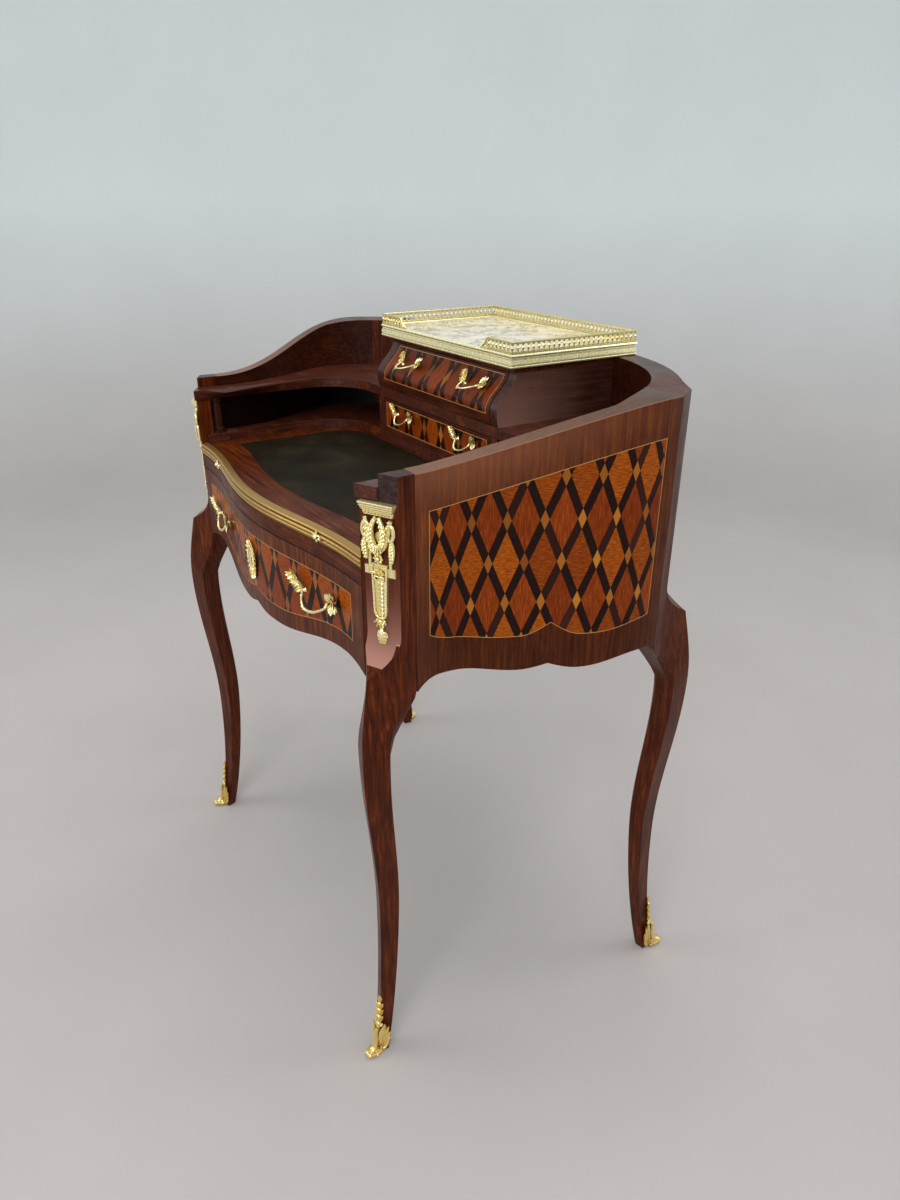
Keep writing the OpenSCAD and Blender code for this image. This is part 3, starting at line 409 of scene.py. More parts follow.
def front_post_wood():
    """Leg wood with a painted sheen on the canted face down to its rounded end, a painted highlight along
    that end, and a darker top block.
    """
    g = Graph("mahogany_post")
    colour, *grain = timber(g, 2, LEG, 4)
    c, s = cos(CANT), sin(CANT)
    block_low = SHELF_TOP / 10
    aside, ahead = g.minus(g.size(g.x), FRONT_LEG["x"] / 10), g.minus(g.y, FRONT_LEG["y"] / 10)
    u = g.plus(g.times(aside, c), g.times(ahead, s))
    end = g.curve(u, -2, 2, lambda v: 65.2 - 5.4 * sqrt(max(0, 1 - ((v + 2) / 4) ** 2)))
    facing = g.minus(g.times(g.nx, g.m("SIGN", g.x), s), g.times(g.ny, c))
    canted = g.times(g.above(facing, g.span(g.z, 66.4, 66, 0.955, 0.66)), g.above(u, -2.1))
    face = g.times(canted, g.above(g.z, end), g.below(g.z, block_low))
    # Painted reflection: a pale pinkish sheen on the canted face, stronger towards its rounded end.
    sheen = g.ramp(g.span(g.z, 72, 62.5), (0, "#7c4a3c"), (1, "#b98878"))
    colour = g.blend(g.times(face, g.span(g.z, 77, 61.5, 0.08, 0.85)), colour, sheen)
    # Painted highlight: a pale line along the rounded end of the canted face.
    line = g.below(g.size(g.minus(g.z, end)), 0.045)
    colour = g.blend(g.times(line, canted), colour, "#cfae9c")
    block = timber(g, 0, ("#2a1c1c", "#3d2c2d", "#574446"), 1)[0]
    shown = g.most(g.above(facing, 0.7), g.above(g.nz, 0.5))
    return polish(g, g.blend(g.times(g.above(g.z, block_low), shown), colour, block), *grain)


def case_side_wood():
    """Polished case sides with a painted sheen, paler low down at the front."""
    g = Graph("mahogany_case")
    colour, *grain = timber(g, 1, ("#2a130c", "#43231a", "#5f3a2e"), 3)
    # Painted sheen: the outward faces paler low down at the front.
    pale = g.times(g.span(g.y, 17, 4, 0, 0.9), g.span(g.z, 93, 83.5, 0.12, 1))
    outward = g.above(g.size(g.nx), 0.7)
    colour = g.blend(g.times(pale, outward), colour, g.blend(0.4, "#a67d70", colour))
    return polish(g, colour, *grain, specular=0.3)


def gilt(name, light, middle, dark, rough, hollow=0.0035, metal=0.86):
    """Gilded brass: bright on what stands out, darker in the hollows with patina and painted shade, and with
    faint tarnish.
    """
    g = Graph(name)
    open_sky = g.node("AmbientOcclusion", {"Distance": hollow}, samples=6).outputs["AO"]
    tarnish = g.noise(g.cm, 3.2, 4, 0.6)
    fine = g.noise(g.cm, 26, 3, 0.6)
    # Hollows darker by ambient occlusion: patina and painted shade of the crevices.
    colour = g.ramp(open_sky, (0.16, dark), (0.5, middle), (0.88, light))
    colour = g.blend(g.span(tarnish, 0.5, 0.75, 0, 0.4), colour, middle)
    gloss = g.span(tarnish, 0.3, 0.7, rough - 0.05, rough + 0.1)
    return g.set(colour=colour, metal=metal, rough=gloss, normal=g.bump(fine, 0.18, 0.0002))


def leather():
    g = Graph("leather")
    cells = g.node("TexVoronoi", {"Vector": g.cm, "Scale": 9}, feature="DISTANCE_TO_EDGE")
    cloud = g.noise(g.cm, 0.18, 4, 0.55)
    colour = g.ramp(cloud, (0.3, "#130e05"), (0.55, "#1f180a"), (0.8, "#2f2815"))
    creases = g.span(cells.outputs[0], 0, 0.12)
    colour = g.blend(g.span(creases, 0, 1, 0.35, 0), colour, "#0a0804")
    rough = g.span(cloud, 0.3, 0.7, 0.42, 0.56)
    return g.set(colour=colour, rough=rough, specular=0.1, normal=g.bump(creases, 0.35, 0.0003))


def marble():
    """Cream marble with broad and thin veins."""
    g = Graph("marble")
    moved = g.shift(g.cm, g.stretch(g.noise(g.cm, 0.16, 5, give="Color"), (9, 9, 9)))
    broad = g.size(g.minus(g.noise(moved, 0.22, 6, 0.62), 0.5))
    thin = g.size(g.minus(g.noise(moved, 0.55, 7, 0.6), 0.5))
    clouds = g.noise(g.cm, 0.3, 5, 0.6)
    colour = g.ramp(clouds, (0.3, "#dccfae"), (0.55, "#efe5c8"), (0.8, "#f6efdc"))
    colour = g.blend(g.span(broad, 0, 0.05, 0.8, 0), colour, "#7b7067")
    colour = g.blend(g.span(thin, 0, 0.02, 0.6, 0), colour, "#94836b")
    return g.set(colour=colour, rough=g.span(clouds, 0.3, 0.7, 0.12, 0.22), coat=0.3, coat_rough=0.05)


def smooth_tree():
    """Joins doubled points and shades a CAD mesh smooth, but for edges over 32 degrees."""
    tree = bpy.data.node_groups.new("smooth_faces", "GeometryNodeTree")
    for way in ("INPUT", "OUTPUT"):
        tree.interface.new_socket("Geometry", in_out=way, socket_type="NodeSocketGeometry")
    enter, weld, faces, angle, sharp, edges, leave = (tree.nodes.new(kind) for kind in (
        "NodeGroupInput", "GeometryNodeMergeByDistance", "GeometryNodeSetShadeSmooth",
        "GeometryNodeInputMeshEdgeAngle", "FunctionNodeCompare", "GeometryNodeSetShadeSmooth",
        "NodeGroupOutput",
    ))
    weld.inputs["Distance"].default_value = 0.00001
    edges.domain = "EDGE"
    edges.inputs["Shade Smooth"].default_value = False
    sharp.operation = "GREATER_THAN"
    sharp.inputs[1].default_value = radians(32)
    for giver, taker, slot in (
        (enter, weld, "Geometry"), (weld, faces, "Geometry"), (faces, edges, "Geometry"),
        (angle, sharp, 0), (sharp, edges, "Selection"), (edges, leave, 0),
    ):
        tree.links.new(giver.outputs[0], taker.inputs[slot])
    return tree


smoothing = smooth_tree()


def sides(*names):
    return [f"{name}_{side}" for name in names for _, side in SIDES]


def dress(material, *names):
    for name in names:
        mesh = nodes[name].data
        mesh.materials.clear()
        mesh.materials.append(material)
        if "custom_normal" in mesh.attributes:
            mesh.attributes.remove(mesh.attributes["custom_normal"])
        nodes[name].modifiers.new("smooth", "NODES").node_group = smoothing


# Columns in a darker mahogany: painted shade for their place under the shelf.
column_wood = plain_wood("mahogany_dark", 2, ("#1c0c07", "#351810", "#4e281c"), 4)
gold = gilt("gilt_mounts", "#fff3bc", "#f6e192", "#8a6524", 0.25)
foot_gold = gilt("gilt_feet", "#f6dc90", "#dcb45c", "#6a4510", 0.28)
pale_gold = gilt("gilt_gallery", "#f1e2a2", "#dcc87c", "#74592a", 0.24, 0.003)
band_gold = gilt("gilt_band", "#fffacc", "#fff0b8", "#94793a", 0.22, 0.0025, 0.5)
edge_gold = gilt("gilt_edge", "#c49c58", "#8e662c", "#221405", 0.3, 0.004)

dress(plain_wood("mahogany_upright", 2, LEG, 4), *sides("leg_back"))
dress(front_post_wood(), *sides("leg_front"))
dress(column_wood, *sides("column"))
dress(case_side_wood(), *sides("case_side"))
dress(side_veneer("veneer_left", True), "side_panel_left")
dress(side_veneer("veneer_right", False), "side_panel_right")
dress(back_veneer(), "back_panel")
dress(
    plain_wood("mahogany_along", 0, ("#2c0f05", "#532209", "#793b15"), 7, specular=0.07),
    "writing_top", "case_top", "front_rail",
)
dress(patched_wood(), "shelf", "case_floor", *sides("pigeonhole_floor", "divider"))
dress(frieze_veneer(), "frieze_front")
dress(case_veneer("veneer_lower", LOWER_TRELLIS, 77.7, 81.6), "lower_front")
dress(case_veneer("veneer_upper", UPPER_TRELLIS, 85.4, 90.3, 0.35), "upper_front")
dress(
    plain_wood("drawer_lining", 1, LINING, 2, rough=0.5, coat=0),
    "frieze_runners", "frieze_bottom", "lower_bottom", "upper_bottom",
    *sides("frieze_side", "lower_side", "upper_side"),
)
dress(
    plain_wood("drawer_lining_across", 0, LINING, 2, rough=0.5, coat=0),
    "frieze_back", "lower_back", "upper_back",
)
dress(leather(), "leather_inset")
dress(marble(), "marble_slab")
dress(edge_gold, "lock_case", "lock_bolt")


class Shape:
    """Closed shells gathered into one mesh, in millimetres."""

    def __init__(self):
        self.points, self.faces = [], []

    def loft(self, rings, loop=False):
        start, n = len(self.points), len(rings[0])
        for ring in rings:
            self.points.extend(Vector(p) for p in ring)
        for i in range(len(rings) if loop else len(rings) - 1):
            for j in range(n):
                a, b = start + i * n, start + (i + 1) % len(rings) * n
                k = (j + 1) % n
                self.faces.append((a + j, a + k, b + k, b + j))
        if not loop:
            self.faces.append(tuple(start + j for j in range(n - 1, -1, -1)))
            self.faces.append(tuple(start + (len(rings) - 1) * n + j for j in range(n)))

    def tube(self, path, radius, count=10, flat=1, loop=False, up=None):
        """A tube along the path with one radius or a list of them, flattened across its first side."""
        path = [Vector(p) for p in path]
        n = len(path)
        size = radius if isinstance(radius, list) else [radius] * n
        side = None
        rings = []
        for i, p in enumerate(path):
            before = path[i - 1] if i or loop else p
            after = path[(i + 1) % n] if i < n - 1 or loop else p
            t = (after - before).normalized()
            if side is None:
                side = t.cross(Vector(up)) if up else t.orthogonal()
            side = (side - t * side.dot(t)).normalized()
            other = t.cross(side)
            rings.append([
                p + (side * cos(a) + other * sin(a) * flat) * size[i] for a in around(count)
            ])
        self.loft(rings, loop)

    def lathe(self, centre, axis, profile, count=20):
        """A turned form. The profile gives distances along the axis with their radii."""
        axis, centre = Vector(axis).normalized(), Vector(centre)
        u = axis.orthogonal().normalized()
        v = axis.cross(u)
        self.loft([
            [centre + axis * h + (u * cos(a) + v * sin(a)) * r for a in around(count)]
            for h, r in profile
        ])

    def ball(self, centre, r, squash=1, axis=(0, 0, 1), count=12):
        steps = [pi * i / 8 for i in range(9)]
        profile = [(-r * squash * cos(a), max(0.02 * r, r * sin(a))) for a in steps]
        self.lathe(centre, axis, profile, count)

    def leaf(self, root, along, length, width, thick, curl=0, out=OUT, lobes=0, steps=6):
        """A pointed leaf with a ridge. It grows from root towards along and its face looks towards out."""
        root, along, out = Vector(root), Vector(along).normalized(), Vector(out)
        out = (out - along * out.dot(along)).normalized()
        across = along.cross(out)
        above = ((-1, 0), (-0.55, 0.75), (-0.2, 0.55), (0, 1.15), (0.2, 0.55), (0.55, 0.75), (1, 0))
        rings = []
        for i in range(steps + 1):
            t = i / steps
            k = max(0.06, sin(pi * min(1, 0.06 + 0.94 * t)) ** 0.7)
            w = width / 2 * max(0.05, sin(pi * min(1, 0.12 + 0.88 * t) ** 0.9) ** 0.8)
            if lobes:
                w *= 0.8 + 0.2 * cos(2 * pi * lobes * t)
            middle = root + along * (length * t) + out * (curl * t * t)
            ring = [middle + across * (s * w) + out * (h * thick * k) for s, h in above]
            ring += [middle + across * (s * w) - out * (0.5 * thick * k) for s in (0.5, -0.5)]
            rings.append(ring)
        self.loft(rings)

    def bar(self, corners, low, high):
        """A prism from a flat outline, between two distances outward."""
        self.loft([[Vector(c) + OUT * d for c in corners] for d in (low, high)])

    def moved(self, change):
        self.points = [change(p) for p in self.points]
        return self

    def finish(self, node, material, angle, body="carcass", how="cast", slot="brass"):
        """Puts the mesh in the CAD node's stead, with edges over an angle in degrees kept sharp."""
        name = f"{node}_{how}"
        mesh = bpy.data.meshes.new(name)
        mesh.from_pydata([place(p) for p in self.points], [], self.faces)
        work = bmesh.new()
        work.from_mesh(mesh)
        bmesh.ops.recalc_face_normals(work, faces=work.faces)
        for f in work.faces:
            f.smooth = True
        for e in work.edges:
            if len(e.link_faces) == 2 and e.calc_face_angle(0) > radians(angle):
                e.smooth = False
        work.to_mesh(mesh)
        work.free()
        mesh.materials.append(material)
        made = new_object(name, mesh)
        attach(made, body)
        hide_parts(node)


def spline(points, per=5):
    """A smooth line through the points."""
    points = [Vector(p) for p in points]
    ends = [2 * points[0] - points[1]] + points + [2 * points[-1] - points[-2]]
    line = []
    for i in range(1, len(ends) - 2):
        a, b, c, d = ends[i - 1 : i + 3]
        bend, twist = 2 * a - 5 * b + 4 * c - d, 3 * b - 3 * c + d - a
        for s in range(per):
            t = s / per
            line.append(0.5 * (2 * b + (c - a) * t + bend * t * t + twist * t**3))
    return line + [points[-1]]


def oval(rx, rz, count):
    """Points evenly round an upright ellipse, as pairs of x and z."""
    return [(rx * cos(a), rz * sin(a)) for a in around(count)]


def heading(angle, y=0, side=1):
    """A direction in a mount's plane, at an angle in degrees from its right, or its left for side -1."""
    a = radians(angle)
    return Vector((side * cos(a), y, sin(a)))


def turn(p, angle):
    c, s = cos(angle), sin(angle)
    return Vector((p[0] * c - p[1] * s, p[0] * s + p[1] * c, p[2]))


def moving(x, y, z=0, angle=0, lean=0, side=1, facing=1):
    """A move from the frame in which a mount is drawn to its place, turned and leaning back."""
    c, s = cos(lean), sin(lean)

    def change(p):
        q = turn(Vector((p.x, p.y * c + p.z * s, p.z * c - p.y * s)), angle)
        return Vector((side * (x + q.x), y + facing * q.y, z + q.z))

    return change


# Brass moulding of three reeds along the writing top's front edge.
def edge_profile():
    """Distances back from the front edge, with heights."""
    profile = [(10.8, TOP_LOW), (10.8, WRITING_H + 1), (6.5, WRITING_H + 1.4), (4.6, WRITING_H + 0.9)]
    for drop, r, back in ((1.9, 2.3, 2.1), (7, 2.7, 0.9), (12.2, 2.3, 1.3)):
        for k in range(7):
            a = pi * (0.44 - 0.88 * k / 6)
            profile.append((back - r * cos(a), WRITING_H - drop + r * sin(a)))
    return profile + [(1.2, TOP_LOW + 1.6), (1.2, TOP_LOW)]


edge = Shape()
EDGE_END, EDGE_STEPS = FRONT_HALF - 0.2, 96
edge_line = [-EDGE_END + i * (2 * EDGE_END) / EDGE_STEPS for i in range(EDGE_STEPS + 1)]
edge.loft([[(x, front_at(x) + back, z) for back, z in edge_profile()] for x in edge_line])
edge.finish("edge_moulding", edge_gold, 50, how="reeded")


# Clasps on the moulding: two scrolls beside a knob and a stem.
def clasp(shape, middle):
    slope = (front_at(middle + 1) - front_at(middle - 1)) / 2

    def on_edge(x, out, z):
        y = front_at(middle) + slope * x - 1.6 - out
        return Vector((middle + x + slope * out, y, WRITING_H - 8 + z))

    scroll = ((1.5, 1, 1), (4.5, 1.4, 2.6), (7.5, 1, 1.2), (8.4, 0.6, -1.2), (6.6, 0.9, -2.4), (5.2, 1.2, -1))
    for s in (-1, 1):
        shape.tube(spline([on_edge(s * x, out, z) for x, out, z in scroll], 4), 1.1, 8)
    shape.ball(on_edge(0, 2, 0), 3.2)
    shape.tube([on_edge(0, 0.6, z) for z in (-7, -4, 0, 4, 7.5)], [1, 1.8, 2.2, 1.8, 1], 8, 0.7)


clasps = Shape()
for side in (-1, 1):
    clasp(clasps, side * 182)
clasps.finish("edge_clasps", gold, 38)

# Stepped band round the marble, with slanted ridges on its flat.
BAND_STEPS = (  # distances out from the band's face, with heights
    (-7, 0), (-1.5, 0), (-1.2, 0.6), (-0.3, 1.2), (0, 2), (-0.3, 2.8), (-2.2, 3.4), (-2.2, 4.2),
    (-0.7, 4.6), (-0.7, 10.6), (-2.6, 11), (-2.6, 11.8), (-1.4, 12.2), (-1.4, 13.4), (-2.8, 13.8),
    (-2.8, 14.4), (-0.4, 15), (0, 16), (-0.6, 17.2), (-1.6, 18), (-6, 18), (-7, 17),
)
FLAT = 0.75  # depth of the flat
RIDGE_LOW, RIDGE_HIGH, RIDGE_PITCH = BAND_LOW + 5, 5.2, 2.6
band = Shape()
band.loft([
    [(sx * (BAND_HALF + out), y + sy * out, BAND_LOW + h) for out, h in BAND_STEPS]
    for sx, y, sy in ((-1, BAND_FRONT, -1), (1, BAND_FRONT, -1), (1, BAND_BACK, 1), (-1, BAND_BACK, 1))
], loop=True)


def ridges(shape, start, end, out):
    """Slanted ridges along a straight run of the flat, between two points in plan."""
    start, end, out = Vector((*start, RIDGE_LOW)), Vector((*end, RIDGE_LOW)), Vector(out)
    along = (end - start).normalized()
    count = int((end - start).length / RIDGE_PITCH)
    step = (end - start).length / count
    for i in range(count):
        foot = start + along * (step * (i + 0.15))
        lean, rise = along * 2.2, Vector((0, 0, RIDGE_HIGH))
        base = [foot, foot + along * 1.5, foot + along * 1.5 + lean + rise, foot + lean + rise]
        middle = sum(base, Vector()) / 4
        shape.loft([[b - out * 0.3 for b in base], [b + out * 0.3 + (middle - b) * 0.2 for b in base]])


flat_x, flat_front, flat_back = BAND_HALF - FLAT, BAND_FRONT + FLAT, BAND_BACK - FLAT
ridges(band, (-flat_x, flat_front), (flat_x - 3, flat_front), (0, -1, 0))
ridges(band, (flat_x, BAND_FRONT + 1), (flat_x, BAND_BACK - 4), (1, 0, 0))
ridges(band, (flat_x, flat_back), (-flat_x + 3, flat_back), (0, 1, 0))
ridges(band, (-flat_x, BAND_BACK - 1), (-flat_x, BAND_FRONT + 4), (-1, 0, 0))
band.finish("marble_band", band_gold, 30, how="moulded")

# Pierced gallery: two rails, turned balusters, and returns that sweep down at the front.
RAIL_LOW = BAND_TOP + 1
INSET = 3.2
RETURN = 53
gx, gf, gb = BAND_HALF - INSET, BAND_FRONT + INSET, BAND_BACK - INSET
rails = Shape()


def rail(shape, z, h, w, path):
    """A rail with blunted edges, mitred at the path's corners."""
    section = ((-1, -0.3), (-0.7, -0.5), (0.7, -0.5), (1, -0.3), (1, 0.3), (0.7, 0.5), (-0.7, 0.5), (-1, 0.3))
    rings = []
    for i, p in enumerate(path):
        p = Vector(p)
        before = (p - Vector(path[i - 1])).normalized() if i else None
        after = (Vector(path[i + 1]) - p).normalized() if i < len(path) - 1 else None
        before, after = before or after, after or before
        t = (before + after).normalized()
        n = Vector((t.y, -t.x, 0)).normalized()
        stretch = 1 / max(0.5, n.dot(Vector((after.y, -after.x, 0)).normalized()))
        rings.append([p + n * (o * w / 2 * stretch) + Vector((0, 0, z + h / 2 + r * h)) for o, r in section])
    shape.loft(rings)


plan = [(-gx + RETURN, gf, 0), (-gx, gf, 0), (-gx, gb, 0), (gx, gb, 0), (gx, gf, 0), (gx - RETURN, gf, 0)]
for z, h, w in (
    (RAIL_LOW, 2.4, 3.2), (RAIL_LOW + 2.4, 0.9, 2.2),
    (GALLERY_TOP - 2.2, 2.2, 3.4), (GALLERY_TOP - 3.2, 1, 2.2),
):
    rail(rails, z, h, w, plan)
SWEEP = (  # distances beyond the return's end, with heights
    (0, 948.9), (2.5, 948.6), (5, 947.2), (7, 944.6), (9, 941.4), (12, 938.6), (15.5, 936.9), (18, 936.4),
)
for s in (-1, 1):
    end = s * (gx - RETURN)
    rails.tube(spline([(end - s * x, gf, z) for x, z in SWEEP], 4), 1.25, 8)
    rails.tube([(end + s, gf, 935.2), (end - s * 17.5, gf, 935.2)], 1.3, 8)
    rails.ball((end - s * 17.5, gf, 936.1), 2.1)
    for x, top in ((1.5, 946.5), (5.2, 944.5), (8.6, 940.4)):
        rails.tube([(end - s * (x + 1.8), gf, 936.4), (end - s * x, gf, top)], 0.8, 8)
rails.finish("gallery_rails", pale_gold, 35, how="moulded")

BALUSTER = (  # heights, with radii
    (0, 1.9), (1, 1.9), (1.4, 1.2), (2.4, 1.2), (3.6, 2), (4.8, 2.5),
    (6, 1.9), (7.4, 1.1), (8, 1), (8.6, 1.5), (9, 1.9), (9.6, 1.9),
)
PITCH = 8.6
posts = Shape()


def balusters(start, end):
    start, end = Vector((*start, RAIL_LOW + 3)), Vector((*end, RAIL_LOW + 3))
    count = round((end - start).length / PITCH)
    for i in range(count + 1):
        posts.lathe(start.lerp(end, i / count), (0, 0, 1), BALUSTER, 10)


balusters((-gx, gb), (gx, gb))
for s in (-1, 1):
    balusters((s * gx, gf), (s * gx, gb - PITCH))
    balusters((s * (gx - PITCH), gf), (s * (gx - RETURN + 1), gf))
posts.finish("gallery_balusters", pale_gold, 50, how="turned")


# Handles: two leafy sprays joined by a thin bail, all cast alike.
LEAF_ROWS = (  # place along the stem, leaves, and how far they fan in degrees
    (0.06, 2, 50), (0.18, 3, 62), (0.3, 4, 70), (0.42, 4, 74), (0.53, 5, 70), (0.62, 4, 52), (0.7, 3, 30),
)


def spray(shape, root, lean, length, seed, spread=1):
    """Rows of pointed leaves that open to a fan round a stem at an angle in degrees."""
    draw = random.Random(seed)
    way = heading(lean)
    side = Vector((-way.z, 0, way.x))
    root = Vector(root)
    tip = root + way * length * 0.7 + OUT * (length * 0.08)
    shape.tube(spline([root, root.lerp(tip, 0.5) + OUT, tip]), length * 0.06, 8)
    for t, count, fan in LEAF_ROWS:
        for j in range(count):
            u = 2 * j / (count - 1) - 1 + draw.uniform(-0.08, 0.08)
            bend = radians(fan * u)
            d = way * cos(bend) + side * sin(bend)
            start = root + way * (length * t) + side * (length * 0.06 * spread * u)
            start += OUT * (1.9 + length * 0.12 * t - 0.7 * u * u)
            size = length * draw.uniform(0.24, 0.29) * (1 + (spread - 1) * abs(u))
            along, face = d + OUT * (0.42 - 0.25 * abs(u)), OUT + side * (0.7 * u)
            shape.leaf(start, along, size, size * 0.46, length * 0.06, size * 0.25, face)
            shape.ball(start + d * (size * 0.3) + OUT * (length * 0.05), length * 0.045, count=7)


def handle(w, l, drop, seed, lean):
    """A handle w wide with sprays l long, the left one leaning. Its bail hangs by drop."""
    shape = Shape()
    left, right = -w / 2, w / 2
    spray(shape, (left + 1, -2, 0), lean, l, seed)
    spray(shape, (right - 3, -2.5, 0.04 * w), 24, l * 0.86, seed + 1, 1.45)
    r = 0.02 * w + 0.4
    bail = spline([
        (left + 1, -4.5, 2), (left + 1.5, -7, -drop * 0.35), (left + 0.06 * w, -8.5, -drop * 0.75),
        (left + 0.15 * w, -9, -drop), (left + w * 0.32, -9, -drop * 1.02),
        (left + w * 0.54, -9, -drop * 0.84), (left + w * 0.76, -8.5, -drop * 0.5),
        (right - 3, -7, -drop * 0.12), (right - 2.5, -4.5, 0.06 * w),
    ])
    n = len(bail)
    shape.tube(bail, [r * (1 + 0.35 * sin(pi * i / (n - 1)) ** 3) for i in range(n)])
    for at, big in ((4, 1.5), (int(n * 0.34), 1.75), (int(n * 0.41), 1.45), (n - 5, 1.5)):
        shape.ball(bail[at], r * big, 0.8, axis=bail[at + 1] - bail[at - 1], count=10)
    for angle in (200, 250, 300):
        shape.leaf(bail[int(n * 0.33)], heading(angle), w * 0.11, w * 0.045, 0.8, out=(0, -1, 0.2), steps=5)
    for x, z in ((left + 1, 1), (right - 2.5, 0.04 * w)):
        shape.lathe((x, 0, z), OUT, [(0.2, 3.4), (1, 3.4), (1.6, 2.4), (6, 1.5)], 14)
    return shape


# Width, spray, drop, seed and lean. The photograph shows the handles a little to the right of even places.
FRIEZE_LOOK, CASE_LOOK = (61, 37, 20, 5, 142), (40, 24, 12, 15, 120)
FRIEZE_X, FRIEZE_Z, CASE_X, LOWER_Z, UPPER_Z = 172, 659, 88, 801.5, 880.4
far, near = front_at(FRIEZE_X - 62), front_at(FRIEZE_X + 62)
skew = atan((near - far) / 124)
tilt = atan((ogee_at(UPPER_Z + 4) - ogee_at(UPPER_Z - 4)) / 8)
upper_y = CASE_FRONT + ogee_at(UPPER_Z) - 0.1
for s, side in SIDES:
    for kind, look, *at in (
        ("frieze", FRIEZE_LOOK, s * FRIEZE_X + 3, (far + near) / 2 + 0.5, FRIEZE_Z, skew * s),
        ("lower", CASE_LOOK, s * CASE_X + 2, CASE_FRONT, LOWER_Z),
        ("upper", CASE_LOOK, s * CASE_X + 4, upper_y, UPPER_Z, 0, tilt),
    ):
        hung = handle(*look).moved(moving(*at))
        hung.finish(f"{kind}_handle_{side}", gold, 60, f"{kind}_drawer")


# Keyhole plate: a wreath of leaves round a dished oval with a raised keyhole.
def keyhole_line(count):
    """A round hole with a slot below, as pairs of x and z."""
    points = []
    for a in around(count):
        if 1.25 * pi < a < 1.75 * pi:
            points.append((1.3 * (a - 1.5 * pi) / (0.25 * pi), -8 + abs(a - 1.5 * pi)))
        else:
            points.append((2.6 * cos(a), 2.6 * sin(a)))
    return points


plate = Shape()
outer, hole = oval(9.4, 19.5, 64), keyhole_line(64)
plate.loft([
    [(x * wide, y, z * high) for x, z in line]
    for line, y, wide, high in (
        (outer, -0.2, 1, 1), (outer, -2, 1, 1), (outer, -3.2, 0.84, 0.9), (outer, -1.4, 0.7, 0.78),
        (hole, -1.4, 1.9, 1.35), (hole, -2.8, 1.6, 1.2), (hole, -2.8, 1, 1), (hole, -0.2, 1, 1),
    )
], loop=True)
for i in range(20):
    a = 2 * pi * (i + 0.5) / 20
    c, s = cos(a), sin(a)
    way = (c - 0.55 * s, -0.25, s * 1.2 + 0.55 * c)
    plate.leaf((9.6 * c, -1.2, 20 * s), way, 8.6 + 1.6 * abs(s), 4.4, 2, 1)
plate.tube([(x, -3, z) for x, z in oval(9.8, 20.4, 48)], 1, 8, loop=True)
for x, z in oval(9.8, 20.4, 20):
    plate.ball((x, -4, z), 1.35, count=8)
for j in range(-2, 3):
    for end in (1, -1):
        plate.leaf((0, -2, end * 19.5), heading(end * (90 + 28 * j), -0.2), 11 - abs(j), 4.2, 1.6, 1.5)
plate.moved(moving(0, front_at(0) - 0.2, 655)).finish("keyhole_plate", gold, 60, "frieze_drawer")


# Corner mounts: moulded capital, swags, tabs, husked strap, leaves and a bud.
CHUTE_HIGH, CHUTE_SCALE = 168, 1.045  # drawn height, and the size of one of its units


